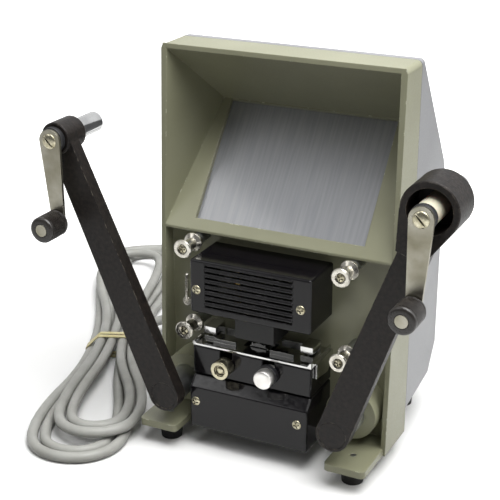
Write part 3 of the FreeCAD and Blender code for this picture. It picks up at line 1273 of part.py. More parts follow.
def hank_stations():
    """Points and headings round the hank: in over the lower layer, then out over the upper one."""
    turning = int(loops * 4) + 2
    last = int(loops * 8) - 2
    floor_height = wire_radius + 0.05
    front = s.front_lobe_reach.number
    rear = s.rear_lobe_reach.number
    shift = s.front_lobe_shift.number
    rear_shift = 0
    stations = []
    for index in range(last + 1):
        depth = index / 8 if index <= turning else (2 * turning - index) / 8
        height = floor_height
        if index == turning:
            height += layer_rise
            front -= s.upper_front_back.number
            rear -= s.upper_rear_back.number
            shift += s.upper_front_side.number
            rear_shift = s.upper_rear_side.number
        elif index > turning:
            height += layer_rise
        front_radius = s.front_lobe_radius.number - step_in * depth
        rear_radius = s.rear_lobe_radius.number - step_in * depth
        waist = waist_side(depth)
        lifted = height + s.waist_lift.number
        stop = index % 8
        if stop == 0:
            station = (hank_point(rear + rear_radius, rear_shift, height), -across_hank)
        elif stop == 1:
            station = (hank_point(rear, rear_shift - rear_radius, height), -along_hank)
        elif stop == 2:
            station = (hank_point(0, -waist, lifted), -along_hank)
        elif stop == 3:
            station = (hank_point(-front, shift - front_radius, height), -along_hank)
        elif stop == 4:
            station = (hank_point(-front - front_radius, shift, height), across_hank)
        elif stop == 5:
            station = (hank_point(-front, shift + front_radius, height), along_hank)
        elif stop == 6:
            station = (hank_point(0, waist, lifted), along_hank)
        else:
            station = (hank_point(rear, rear_shift + rear_radius, height), along_hank)
        stations.append(station)
    return stations


def tube(name, edges, start, direction):
    """A solid round cord along one unbroken path."""
    spine = Part.Wire(edges)
    section = Part.Wire(Part.Circle(start, direction, wire_radius).toShape())
    solid = spine.makePipeShell([section], True, False)
    feature = doc.addObject("Part::Feature", name)
    feature.Shape = solid
    expected = math.pi * wire_radius ** 2 * spine.Length
    print("%s: length %.0f, volume over section times length %.4f" % (name, spine.Length, solid.Volume / expected))
    return feature, spine


def least_gap(spine):
    """The least distance between two stretches of one path, less the cord's diameter."""
    step = 4.0
    points = spine.discretize(Distance=step)
    skip = int(round(12 * wire_radius / step))
    nearest = min(points[i].distanceToPoint(points[j]) for i in range(len(points)) for j in range(i + skip, len(points)))
    return nearest - 2 * wire_radius


stations = hank_stations()
plug_axis = s.plug_height.number / 2 + 0.4
tail_end = hank_point(s.tail_reach.number, s.tail_side.number, plug_axis)
plug_face = tail_end + along_hank * s.cord_diameter.number
stations.append((tail_end, along_hank))
hank_start = stations[0][0] + across_hank * s.cord_diameter.number
hank_edges = [Part.LineSegment(hank_start, stations[0][0]).toShape()]
for (start, heading_in), (end, heading_out) in zip(stations[:-1], stations[1:]):
    hank_edges += biarc(start, heading_in, end, heading_out)
hank_edges.append(Part.LineSegment(tail_end, plug_face).toShape())
hank, hank_spine = tube("hank_tube", hank_edges, hank_start, -across_hank)
print("hank: least gap to itself %.2f" % least_gap(hank_spine))
piece(hank, "cord_hank")

# The lead's route from the strain relief to the hank, one point after another
gland_tip = FreeCAD.Vector(s.gland_x.number, gland_tip_y.number, gland_z.number)
LEAD_POINTS = [(-46, 172, 49), (-55, 212, 30), (-75, 248, 11), (-112, 277, 3.55)]
straight_in = hank_start + across_hank * s.lead_last_run.number
lead_route = [gland_tip] + [FreeCAD.Vector(*point) for point in LEAD_POINTS] + [straight_in, hank_start]


def rounded_path(route):
    """Straight runs joined by tangent arcs, each as large as its two runs allow."""
    edges = []
    here = route[0]
    for before, corner, after in zip(route[:-2], route[1:-1], route[2:]):
        run_in = corner - before
        run_out = after - corner
        turn = run_in.getAngle(run_out)
        reach = 0.45 * min(run_in.Length, run_out.Length)
        print("lead: turn %.0f degrees, radius %.0f" % (math.degrees(turn), reach / math.tan(turn / 2)))
        arc_start = corner - run_in.normalize() * reach
        arc_end = corner + run_out.normalize() * reach
        edges.append(Part.LineSegment(here, arc_start).toShape())
        edges.append(arc_to(arc_start, run_in, corner, arc_end))
        here = arc_end
    edges.append(Part.LineSegment(here, route[-1]).toShape())
    return edges


lead, lead_spine = tube("lead_tube", rounded_path(lead_route), gland_tip, lead_route[1] - gland_tip)
piece(lead, "cord_lead")

# Rubber band round the waist
band_clear = 0.25
deepest_side = waist_side(0.25) + wire_radius
other_side = waist_side(0.75) + wire_radius
band_low = s.waist_lift.number + 0.05 - band_clear
band_high = s.waist_lift.number + 0.05 + s.cord_diameter.number + layer_rise + band_clear
band_wall = s.tie_thickness.number
tie_body = new_body("tie_body")
tie_sketch = plane_sketch(tie_body, "XZ_Plane", -s.tie_width / 2)
draw_outline(tie_sketch, [(-deepest_side - band_clear - band_wall, band_low - band_wall),
                          (other_side + band_clear + band_wall, band_low - band_wall),
                          (other_side + band_clear + band_wall, band_high + band_wall),
                          (-deepest_side - band_clear - band_wall, band_high + band_wall)])
pad(tie_body, tie_sketch, s.tie_width)
tie_room = block("tie_room", (-deepest_side - band_clear, other_side + band_clear), (-s.tie_width, s.tie_width),
                 (band_low, band_high))
tie = rounded("tie_soft", cut("tie_ring", tie_body, tie_room), s.tie_thickness * 2,
              lambda edge: edge_runs(edge, "y") and (edge.BoundBox.XMin < -deepest_side - band_clear - 0.1
                                                     or edge.BoundBox.XMin > other_side + band_clear + 0.1))
tie_turn = s.hank_heading - 90
piece(place(tie, s.hank_waist_x, s.hank_waist_y, 0, tie_turn, (0, 0, 1)), "cord_tie")

# Two-pin plug, lying behind the hank's waist
plug_rest = 0.4
plug_body = slab("plug_outline", "XY_Plane", [
    (-s.plug_width * 0.22, 0), (s.plug_width * 0.22, 0), (s.plug_width / 2, s.plug_length * 0.42),
    (s.plug_width / 2, s.plug_length), (-s.plug_width / 2, s.plug_length), (-s.plug_width / 2, s.plug_length * 0.42)],
    s.plug_height, offset=plug_rest)
plug_soft = rounded("plug_soft", plug_body, s.plug_height / 6,
                    lambda edge: edge_runs(edge, "z") or edge.BoundBox.ZMin > s.plug_height.number)
plug_axis_height = s.plug_height / 2 + plug_rest
pins = [rod(side + "_pin", s.plug_pin_radius, sign * s.plug_pin_spread,
            (s.plug_length - 2, s.plug_length + s.plug_pin_length), plug_axis_height)
        for side, sign in (("left", -1), ("right", 1))]
plug = joined("plug_solid", plug_soft, *pins)
turn_size = s.hank_heading - 90
face_along = s.tail_reach + s.cord_diameter
plug_x = s.hank_waist_x + face_along * cosine(s.hank_heading) + s.tail_side * sine(s.hank_heading)
plug_y = s.hank_waist_y + face_along * sine(s.hank_heading) - s.tail_side * cosine(s.hank_heading)
piece(place(plug, plug_x, plug_y, 0, turn_size, (0, 0, 1)), "cord_plug")


def check_and_export():
    """Refuse a broken model, then write each sub-part to its own file."""
    doc.recompute()
    broken = [item.Name for item in doc.Objects if "Invalid" in item.State or "Error" in item.State]
    if broken:
        raise RuntimeError("failed objects: " + ", ".join(broken))
    os.makedirs("parts", exist_ok=True)
    to_origin = FreeCAD.Vector(-s.origin_x.number, -s.origin_y.number, 0)
    for item in pieces:
        shape = item.Shape.copy()
        if shape.isNull() or not shape.isValid() or not shape.Solids:
            raise RuntimeError("bad shape: " + item.Label)
        shape.translate(to_origin)
        shape.exportStep(os.path.join("parts", item.Label + ".step"))
        print(item.Label, len(shape.Solids), round(shape.Volume, 1))


check_and_export()
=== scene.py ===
"""Looks of a table-top viewer for 8 mm film: hooded screen, film stage and two winding arms.

Metres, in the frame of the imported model: X to the viewer's right, Y to the back and Z up from the table.
Sizes are written in millimetres and multiplied by MM where they are used.
"""
import math

import bmesh
import bpy
from mathutils import Matrix, Vector


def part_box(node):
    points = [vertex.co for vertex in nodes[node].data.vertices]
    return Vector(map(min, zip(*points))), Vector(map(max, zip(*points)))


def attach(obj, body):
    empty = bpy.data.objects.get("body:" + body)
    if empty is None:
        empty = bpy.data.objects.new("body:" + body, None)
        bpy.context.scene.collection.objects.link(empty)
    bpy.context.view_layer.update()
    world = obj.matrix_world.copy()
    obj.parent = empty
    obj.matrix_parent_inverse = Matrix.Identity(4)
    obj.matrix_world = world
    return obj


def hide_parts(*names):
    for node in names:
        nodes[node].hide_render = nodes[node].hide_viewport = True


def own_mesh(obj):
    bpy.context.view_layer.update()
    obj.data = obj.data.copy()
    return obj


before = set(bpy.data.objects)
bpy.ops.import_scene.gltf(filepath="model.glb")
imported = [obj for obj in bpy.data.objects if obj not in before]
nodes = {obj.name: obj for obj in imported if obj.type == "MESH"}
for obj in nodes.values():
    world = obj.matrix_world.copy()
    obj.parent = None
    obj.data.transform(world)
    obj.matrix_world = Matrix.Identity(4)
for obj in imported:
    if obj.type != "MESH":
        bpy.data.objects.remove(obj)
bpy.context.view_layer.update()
MM = 0.001

# Camera
# It looks down on the viewer from the right, from about 0.8 m away.


def into_scene(name, data):
    """An object that holds some data, linked into the scene."""
    made = bpy.data.objects.new(name, data)
    bpy.context.scene.collection.objects.link(made)
    return made


lens = bpy.data.cameras.new("camera")
lens.lens = 91.5
lens.sensor_width = 36
camera = into_scene("camera", lens)
camera.location = (0.30537, -0.66833, 0.40821)
camera.rotation_euler = (math.pi / 2 - 0.372, 0, 0.459)
bpy.context.scene.camera = camera

# Mains lead
# A round grey vinyl cord leaves the strain relief, drops behind the cover and runs into a long hank
# of four turns: those of the lower layer are wound inwards, and the looser ones above them outwards.
CORD_DIAMETER = 7.0
TURNS = 4
GLAND_TIP = Vector((-41.224, 104.0, 52.5))
ORIGIN = Vector((-3.776, 31.0, 0.0))
# The lead goes over these points, between the strain relief and the hank.
LEAD_POINTS = [(-46, 172, 49), (-55, 212, 30), (-75, 248, 11), (-112, 277, 3.55)]
WAIST = Vector((-156, 68, 0))
HEADING = math.radians(113)
ALONG = Vector((math.cos(HEADING), math.sin(HEADING), 0))
ACROSS = Vector((math.sin(HEADING), -math.cos(HEADING), 0))
# The front and rear lobes of the lower layer, and how far the upper layer lies from them.
FRONT_REACH = 121.0
FRONT_RADIUS = 34.0
FRONT_SHIFT = -4.0
REAR_REACH = 172.0
REAR_RADIUS = 35.0
UPPER_FRONT_BACK = 14.0
UPPER_FRONT_SIDE = 9.0
UPPER_REAR_BACK = 20.0
UPPER_REAR_SIDE = -8.0
LAYER_RISE = 7.8
STEP_IN = 8.0
INNER_WAIST = 1.9
WAIST_LIFT = 1.3
FLOOR_HEIGHT = 3.55
LAST_RUN = 66.0
TAIL_FORWARD = 92.0
TAIL_SIDE = 57.0
PLUG_AXIS = 7.9
# Worn paint comes off in patches of about this size.
WEAR_PATCH = 4.0
# The mix node's sockets for colours go by number, because their names repeat.
MIX_AMOUNT = 0
MIX_FIRST = 6
MIX_SECOND = 7
MIX_RESULT = 2


def linear(code):
    """The shader's linear colour for an sRGB hex value."""
    parts = [int(code[start:start + 2], 16) / 255 for start in (0, 2, 4)]
    return [part / 12.92 if part <= 0.04045 else ((part + 0.055) / 1.055) ** 2.4 for part in parts] + [1.0]


def add_node(tree, kind, sockets, **settings):
    """Add one node with its settings, and a value or a link for each of the named sockets."""
    node = tree.nodes.new(kind)
    for name, value in settings.items():
        setattr(node, name, value)
    for name, value in sockets.items():
        if isinstance(value, bpy.types.NodeSocket):
            tree.links.new(value, node.inputs[name])
        else:
            node.inputs[name].default_value = value
    return node


def new_material(name, **plain):
    """A material whose shader has these values all over, its sockets' spaces written as underscores."""
    material = bpy.data.materials.new(name)
    material.use_nodes = True
    tree = material.node_tree
    shader = tree.nodes["Principled BSDF"]
    for socket, value in plain.items():
        shader.inputs[socket.replace("_", " ")].default_value = value
    return material, tree, shader


def noise(tree, size, detail=3.0, stretch=(1, 1, 1)):
    """Cloudy noise whose patches are about so many millimetres wide, stretched along the axes."""
    spot = add_node(tree, "ShaderNodeTexCoord", {}).outputs["Object"]
    stretched = add_node(tree, "ShaderNodeMapping", {"Vector": spot, "Scale": stretch}).outputs["Vector"]
    return add_node(tree, "ShaderNodeTexNoise", {
        "Vector": stretched, "Scale": 1 / (size * MM), "Detail": detail}).outputs[0]


def spread(tree, value, low, high, to_low=0.0, to_high=1.0):
    """Stretch the part of a value between low and high over a new range."""
    return add_node(tree, "ShaderNodeMapRange", {
        "Value": value, "From Min": low, "From Max": high,
        "To Min": to_low, "To Max": to_high}).outputs["Result"]


def calculated(tree, operation, first, second):
    """One calculation on two numbers."""
    return add_node(tree, "ShaderNodeMath", {0: first, 1: second}, operation=operation).outputs[0]


def blend_colours(tree, amount, first, second):
    """The first colour, or the second where the amount is one."""
    return add_node(tree, "ShaderNodeMix", {
        MIX_AMOUNT: amount, MIX_FIRST: first, MIX_SECOND: second}, data_type="RGBA").outputs[MIX_RESULT]


def raised(tree, shader, height, relief, **normal):
    """Let a pattern stand up from the surface by so many millimetres."""
    bump = add_node(tree, "ShaderNodeBump", {"Height": height, "Distance": relief * MM, **normal})
    tree.links.new(bump.outputs["Normal"], shader.inputs["Normal"])


def rubbed_and_lit_edges(tree, width):
    """The normal softened over an edge, and how near a sharp outer or inner edge a point is."""
    soft = add_node(tree, "ShaderNodeBevel", {"Radius": width * MM}, samples=6).outputs["Normal"]
    flat = add_node(tree, "ShaderNodeNewGeometry", {}).outputs["True Normal"]
    meeting = add_node(tree, "ShaderNodeVectorMath", {
        0: soft, 1: flat}, operation="DOT_PRODUCT").outputs["Value"]
    return soft, spread(tree, meeting, 0.985, 0.86)


def coated(name, colour, shade, grain, relief, rough, edge_wear_and_highlight=None, edge=0.5, edge_wear_and_highlight_spread=0.0, cloud=34.0, **plain):
    """A painted or moulded skin: two shades in soft clouds, a raised grain and lighter edges, which stand
    for wear and, on some skins, for a painted highlight.
    """
    material, tree, shader = new_material(name, **plain)
    speck = noise(tree, grain, detail=2.0)
    clouds = spread(tree, noise(tree, cloud, detail=5.0), 0.36, 0.66)
    tone = blend_colours(tree, clouds, linear(colour), linear(shade))
    soft, rim = rubbed_and_lit_edges(tree, edge)
    # Pale edges: worn paint on most skins; on the glossy black mouldings a painted highlight, and on the
    # olive casting partly wear and partly a painted highlight.
    if edge_wear_and_highlight:
        patch = spread(tree, noise(tree, WEAR_PATCH, detail=4.0), 0.62 - edge_wear_and_highlight_spread * 0.3, 0.70 - edge_wear_and_highlight_spread * 0.2)
        tone = blend_colours(tree, calculated(tree, "MULTIPLY", rim, patch), tone, linear(edge_wear_and_highlight))
    tree.links.new(tone, shader.inputs["Base Color"])
    tree.links.new(spread(tree, speck, 0.3, 0.7, rough - 0.05, rough + 0.06), shader.inputs["Roughness"])
    raised(tree, shader, speck, relief, Normal=soft)
    return material


def on_hank(forward, side, height):
    """A place in the hank's own directions: from its waist to the rear, to the right and up."""
    return WAIST + ALONG * forward + ACROSS * side + Vector((0, 0, height))


def hank_stops():
    """Places and headings round the hank, inwards on the lower layer and outwards on the upper one."""
    turning = TURNS * 4 + 2
    for stop in range(TURNS * 8 - 1):
        upper = stop >= turning
        depth = (2 * turning - stop) / 8 if upper else stop / 8
        height = FLOOR_HEIGHT + LAYER_RISE * upper
        front = FRONT_RADIUS - STEP_IN * depth
        front_reach = FRONT_REACH - UPPER_FRONT_BACK * upper
        front_side = FRONT_SHIFT + UPPER_FRONT_SIDE * upper
        rear = REAR_RADIUS - STEP_IN * depth
        rear_reach = REAR_REACH - UPPER_REAR_BACK * upper
        rear_side = UPPER_REAR_SIDE * upper
        waist = INNER_WAIST + (TURNS / 2 + 0.25 - depth) * LAYER_RISE
        yield [
            (on_hank(rear_reach + rear, rear_side, height), -ACROSS),
            (on_hank(rear_reach, rear_side - rear, height), -ALONG),
            (on_hank(0, -waist, height + WAIST_LIFT), -ALONG),
            (on_hank(-front_reach, front_side - front, height), -ALONG),
            (on_hank(-front_reach - front, front_side, height), ACROSS),
            (on_hank(-front_reach, front_side + front, height), ALONG),
            (on_hank(0, waist, height + WAIST_LIFT), ALONG),
            (on_hank(rear_reach, rear_side + rear, height), ALONG),
        ][stop % 8]


def bend_points(start, heading_in, end, heading_out):
    """The two spline points that lead from one stop to the next."""
    chord = end - start
    both = heading_in + heading_out
    square = both.dot(both) - 4
    slope = -2 * chord.dot(both)
    span = chord.dot(chord)
    if abs(square) < 1e-9:
        reach = -span / slope
    else:
        reach = (-slope - math.sqrt(slope * slope - 4 * square * span)) / (2 * square)
    return [start + heading_in * reach, end - heading_out * reach]


stops = list(hank_stops())
waist_places = [stop[0] for stop in stops[2::4]]
tail_end = on_hank(TAIL_FORWARD, TAIL_SIDE, PLUG_AXIS)
stops.append((tail_end, ALONG))
route = [GLAND_TIP + ORIGIN] + [Vector(point) for point in LEAD_POINTS]
route.append(stops[0][0] + ACROSS * (LAST_RUN + CORD_DIAMETER))
for (start, leaving), (end, arriving) in zip(stops[:-1], stops[1:]):
    route += bend_points(start, leaving, end, arriving)
route.append(tail_end + ALONG * CORD_DIAMETER)
line = bpy.data.curves.new("mains_lead", "CURVE")
line.dimensions = "3D"
line.bevel_depth = CORD_DIAMETER / 2 * MM
line.bevel_resolution = 5
line.resolution_u = 8
line.use_fill_caps = True
spline = line.splines.new("NURBS")
spline.points.add(len(route) - 1)
for point, place in zip(spline.points, route):
    point.co = (*((place - ORIGIN) * MM), 1)
spline.order_u = 3
spline.use_endpoint_u = True
mains_lead = into_scene("mains_lead", line)
# Extruded soft vinyl: satin, with a faint sheen and handling marks in its grey.
vinyl = coated("soft_vinyl", "a7a7a2", "94948e", grain=1.6, relief=0.03, rough=0.42, cloud=22.0,
               Specular_IOR_Level=0.4)
line.materials.append(vinyl)
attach(mains_lead, "housing")
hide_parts("cord_lead", "cord_hank")

# Rubber band
# A narrow natural rubber band is slung twice round the waist of the hank, its two strands crossing on
# top, and holds the turns together by its own pull.
BAND_WIDTH = 3.4
BAND_THICKNESS = 0.8
BAND_STEPS = 96
BAND_LEAN = 2.6
BAND_GAP = 0.15


def place_mesh(name, mesh, material, body, slot, *replaced):
    """Put a finished mesh into the scene as a piece of one body."""
    mesh.materials.clear()
    mesh.materials.append(material)
    made = into_scene(name, mesh)
    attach(made, body)
    if replaced:
        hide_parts(*replaced)
    return made


def mesh_from(name, shape, sharp=34):
    """A mesh from edited geometry: faces outwards, smooth but for the sharp corners."""
    bmesh.ops.remove_doubles(shape, verts=shape.verts, dist=1e-6)
    bmesh.ops.recalc_face_normals(shape, faces=shape.faces)
    for face in shape.faces:
        face.smooth = True
    for edge in shape.edges:
        edge.smooth = len(edge.link_faces) == 2 and edge.calc_face_angle() < math.radians(sharp)
    mesh = bpy.data.meshes.new(name)
    shape.to_mesh(mesh)
    shape.free()
    return mesh


def skin_rings(shape, rings, closed):
    """Faces between neighbouring rings of points, the last ring joined to the first where closed."""
    made = [[shape.verts.new(point) for point in ring] for ring in rings]
    follow = made[1:] + made[:1] if closed else made[1:]
    for near, far in zip(made, follow):
        count = len(near)
        for index in range(count):
            after = (index + 1) % count
            shape.faces.new((near[index], near[after], far[after], far[index]))
    return made


def band_hull(direction):
    """The point of the bundle's outline that lies furthest in one direction across the waist."""
    flat = [((place - WAIST).dot(ACROSS), place.z) for place in waist_places]
    return max(flat, key=lambda spot: spot[0] * math.cos(direction) + spot[1] * math.sin(direction))


def band_ring(turn, lean):
    """One cross-section of a strand of the band, at an angle round the bundle."""
    side, height = band_hull(turn)
    middle = lean * math.sin(turn)
    ring = []
    for out, forward in ((BAND_GAP, -1), (BAND_GAP, 1), (BAND_THICKNESS, 0.9), (BAND_THICKNESS, -0.9)):
        reach = CORD_DIAMETER / 2 + out
        ring.append((on_hank(middle + forward * BAND_WIDTH / 2, side + reach * math.cos(turn),
                             height + reach * math.sin(turn)) - ORIGIN) * MM)
    return ring


shape = bmesh.new()
for lean in (-BAND_LEAN, BAND_LEAN):
    turns = [math.tau * step / BAND_STEPS for step in range(BAND_STEPS)]
    skin_rings(shape, [band_ring(turn, lean) for turn in turns], closed=True)
# Natural rubber: dull, pale yellow and slightly let through by the light.
band_rubber = coated("natural_rubber", "e6d8a4", "d2c08a", grain=0.8, relief=0.05, rough=0.6, cloud=9.0,
                     Subsurface_Weight=0.15)
rubber_band = place_mesh("rubber_band", mesh_from("rubber_band", shape, 50), band_rubber, "housing",
                         "band_rubber", "cord_tie")

# Plug
# A two-pin mains plug of black rubbery plastic, moulded onto the cord with a short ribbed neck, and
# two round brass pins, sleeved in plastic over their first half.

# Each cross-section has its distance from the neck, its half width and its half height.
PLUG_SECTIONS = [(0.2, 5.0, 4.9), (1.5, 5.7, 5.6), (5, 6.4, 6.1), (9, 8.4, 6.8), (13, 10.9, 7.2),
                 (17, 12.6, 7.45), (21, 13.0, 7.5), (24, 12.4, 7.0), (27, 12.2, 6.8), (30, 12.4, 7.0),
                 (33, 12.9, 7.45), (36.6, 12.9, 7.4), (37.7, 12.4, 6.9), (38, 11.4, 5.9)]
PLUG_FACE = 38
PLUG_STEPS = 40
PLUG_SQUARENESS = 0.62
NECK_LENGTH = 6.5
NECK_RINGS = 14
NECK_WALL = 0.55
NECK_FLARE = 0.06
NECK_RIB = 0.45
PIN_SPREAD = 9.5
PIN_RADIUS = 2.0
PIN_LENGTH = 19.0
PIN_STEPS = 24
SLEEVE_LENGTH = 9.0
# The brush marks on metal are far finer than this; they are drawn coarser so that they show.
BRUSH_SIZE = 0.5


def flat_ring(forward, half_width, half_height, squareness, steps):
    """A rounded-off rectangle across the plug's length."""
    ring = []
    for step in range(steps):
        turn = math.tau * step / steps
        side = math.copysign(abs(math.cos(turn)) ** squareness, math.cos(turn))
        up = math.copysign(abs(math.sin(turn)) ** squareness, math.sin(turn))
        ring.append((half_width * side * MM, forward * MM, half_height * up * MM))
    return ring


def skinned(shape, rings):
    """A closed skin through the rings, capped at both ends."""
    made = skin_rings(shape, rings, closed=False)
    shape.faces.new(made[0][::-1])
    shape.faces.new(made[-1])


def pin_part(shape, sections):
    """A round stretch of both pins, from distances along the plug and shares of the pin's radius."""
    for side in (-1, 1):
        rings = [flat_ring(forward, PIN_RADIUS * share, PIN_RADIUS * share, 1, PIN_STEPS)
                 for forward, share in sections]
        skinned(shape, [[(x + side * PIN_SPREAD * MM, y, z) for x, y, z in ring] for ring in rings])


plug_place = Matrix.Translation((on_hank(TAIL_FORWARD + CORD_DIAMETER, TAIL_SIDE, PLUG_AXIS) - ORIGIN) * MM)
plug_place = plug_place @ Matrix.Rotation(HEADING - math.pi / 2, 4, "Z")
shape = bmesh.new()
skinned(shape, [flat_ring(forward, half_width, half_height, PLUG_SQUARENESS, PLUG_STEPS)
                for forward, half_width, half_height in PLUG_SECTIONS])
neck = []
for ring in range(NECK_RINGS):
    forward = -NECK_LENGTH + (NECK_LENGTH + 1) * ring / (NECK_RINGS - 1)
    radius = CORD_DIAMETER / 2 + NECK_WALL + NECK_FLARE * ring + (NECK_RIB if ring % 3 else 0)
    neck.append(flat_ring(forward, radius, radius, 1, PLUG_STEPS))
skinned(shape, neck)
pin_part(shape, [(PLUG_FACE - 2, 0.97), (PLUG_FACE + SLEEVE_LENGTH - 0.3, 0.97),
                 (PLUG_FACE + SLEEVE_LENGTH, 0.93)])
plug_mesh = mesh_from("plug_body", shape, 40)
plug_mesh.transform(plug_place)
# Moulded soft plastic: nearly black, dull and softly grained by its mould.
black_moulding = coated("grained_black_plastic", "17171a", "222224", grain=0.7, relief=0.02, rough=0.44,
                        edge_wear_and_highlight="4a4a4c", edge=0.4, edge_wear_and_highlight_spread=0.4)
plug_body = place_mesh("plug_body", plug_mesh, black_moulding, "housing", "plug_black", "cord_plug")


def plated(name, colour, stain, rough, smear=9.0, brush=(1, 1, 1), relief=0.004, edge=0.25, painted_hollow_shade=None):
    """Bare or plated metal: dull smears, a fine brushed grain, soft edges and painted shade in its hollows.
    """
    material, tree, shader = new_material(name, Metallic=1.0)
    smears = spread(tree, noise(tree, smear, detail=4.0), 0.35, 0.7)
    tone = blend_colours(tree, smears, linear(colour), linear(stain))
    # Painted shade: where ambient occlusion finds a hollow, the colour is darkened to a dark brown.
    if painted_hollow_shade:
        hollow = add_node(tree, "ShaderNodeAmbientOcclusion", {"Distance": painted_hollow_shade * MM}, samples=8)
        unshaded = spread(tree, hollow.outputs["AO"], 0.45, 0.9)
        tone = blend_colours(tree, unshaded, linear("2e281d"), tone)
    tree.links.new(tone, shader.inputs["Base Color"])
    tree.links.new(spread(tree, smears, 0, 1, rough * 0.8, rough * 1.35), shader.inputs["Roughness"])
    lines = noise(tree, BRUSH_SIZE, detail=2.0, stretch=brush)
    raised(tree, shader, lines, relief, Normal=rubbed_and_lit_edges(tree, edge)[0])
    return material


shape = bmesh.new()
pin_part(shape, [(PLUG_FACE + SLEEVE_LENGTH - 1, 0.9), (PLUG_FACE + PIN_LENGTH - 1.5, 0.9),
                 (PLUG_FACE + PIN_LENGTH - 0.6, 0.75), (PLUG_FACE + PIN_LENGTH - 0.1, 0.4)])
pin_mesh = mesh_from("plug_pins", shape)
pin_mesh.transform(plug_place)
# Bare turned brass: yellow, bright and lightly tarnished.
brass = plated("turned_brass", "d6b765", "b08f4e", rough=0.24)
plug_pins = place_mesh("plug_pins", pin_mesh, brass, "housing", "bulb_brass")

# Strain relief
# A tapered rubber sleeve grips the lead in the rear cover's wall. Its flange bears on the sheet from
# outside, and rings moulded round it let it bend.

# A turned profile is a list of radii, each with its place along the axis.
GLAND_FLANGE = [(3.6, 71), (3.95, 71), (3.95, 76.05), (6.6, 76.05), (6.9, 76.4), (6.9, 78.4), (6.4, 78.9)]
GLAND_MOUTH = [(4.5, 103.4), (4.2, 103.9), (3.6, 103.9)]
GLAND_STEPS = 40
GLAND_RINGS = 7
FIRST_RING = 79.6
RING_PITCH = 3.4
RING_RADIUS = 5.5
RING_TAPER = 0.13
RING_SHAPE = [(-0.8, 0), (-0.8, 0.9), (0, 1.3), (0, 2.9)]


def turned(shape, profile, centre, steps=48):
    """Turn a profile, in millimetres, about an axis along Y through an (x, z) centre."""
    middle_x, middle_z = centre
    turns = [math.tau * step / steps for step in range(steps)]
    rings = [[((middle_x + radius * math.cos(turn)) * MM, y * MM, (middle_z + radius * math.sin(turn)) * MM)
              for turn in turns] for radius, y in profile]
    skin_rings(shape, rings, closed=profile[0][0] > 0 and profile[-1][0] > 0)


gland_profile = list(GLAND_FLANGE)
for ring in range(GLAND_RINGS):
    start = FIRST_RING + ring * RING_PITCH
    thick = RING_RADIUS - ring * RING_TAPER
    gland_profile += [(thick + out, start + along) for out, along in RING_SHAPE]
shape = bmesh.new()
turned(shape, gland_profile + GLAND_MOUTH, (GLAND_TIP.x, GLAND_TIP.z), GLAND_STEPS)
# Moulded rubber: matt black, with a dry bloom that greys it.
black_rubber = coated("moulded_rubber", "1c1c1c", "2b2a29", grain=1.1, relief=0.03, rough=0.72,
                      cloud=12.0, Specular_IOR_Level=0.3)
place_mesh("strain_relief", mesh_from("strain_relief", shape, 40), black_rubber, "housing",
           "rubber_black", "cord_strain_relief")

# Feet, tray and transformer
# Four turned rubber feet carry a folded sheet-steel tray. The small mains transformer is screwed to the
# tray: a stack of varnished iron sheets with a taped copper winding through it.


def dress(material, *names):
    """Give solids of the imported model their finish."""
    for name in names:
        for slot in nodes[name].material_slots:
            slot.material = material


dress(black_rubber, "rubber_feet")
# Stove enamel on sheet steel: dark grey, satin, a little uneven.
tray_enamel = coated("dark_stove_enamel", "3c3d3a", "333431", grain=1.2, relief=0.02, rough=0.42,
                     edge_wear_and_highlight="6c6b62", edge=0.5, edge_wear_and_highlight_spread=0.35)
dress(tray_enamel, "base_tray")
# Zinc-plated mild steel: cool grey and cloudy.
zinc = plated("zinc_plate", "b9bbba", "9a9c9a", rough=0.36)
dress(zinc, "foot_screws", "cover_screws", "relay_mirror_bracket", "main_mirror_bracket", "roller_posts",
      "left_arm_spacer", "right_arm_spacer")


def striped(name, first, second, period, axis, **plain):
    """Fine parallel layers of two colours along one axis."""
    material, tree, shader = new_material(name, **plain)
    spot = add_node(tree, "ShaderNodeTexCoord", {}).outputs["Object"]
    bands = add_node(tree, "ShaderNodeTexWave", {
        "Vector": spot, "Scale": 1 / (period * MM) / 20, "Distortion": 0.6},
        bands_direction=axis).outputs["Fac"]
    tree.links.new(blend_colours(tree, bands, linear(first), linear(second)), shader.inputs["Base Color"])
    raised(tree, shader, bands, relief=0.08)
    return material


# Stacked iron sheets show as fine dark and light lines; the tape over the winding is glossy amber.
laminations = striped("laminated_iron", "4a4643", "2f2c2a", period=1.0, axis="X", Metallic=0.7,
                      Roughness=0.5)
winding_tape = striped("varnished_tape", "b9812c", "8f5f1e", period=3.0, axis="Y", Roughness=0.28)
dress(laminations, "transformer_core")
dress(winding_tape, "transformer_coil")

# Front casting
# One die casting makes the hood, the sill, the front panel, the tabs for the feet and the bosses for
# the arms. It is stove-enamelled in a grey olive green.

# Stove enamel on a casting: satin and faintly clouded; its edges are paler, partly from hands rubbing them
# and partly from a painted highlight.
olive_enamel = coated("olive_stove_enamel", "92927a", "87876f", grain=0.9, relief=0.03, rough=0.34,
                      edge_wear_and_highlight="cfcdb9", edge=0.9, edge_wear_and_highlight_spread=0.1, cloud=60.0, Specular_IOR_Level=0.45)
dress(olive_enamel, "front_casting")

# Screen and its clamp
# A sheet of ground glass closes the hood. The film's picture falls on its dull inner face, and its outer
# face is polished. A pressed steel frame, painted black, holds it from behind.

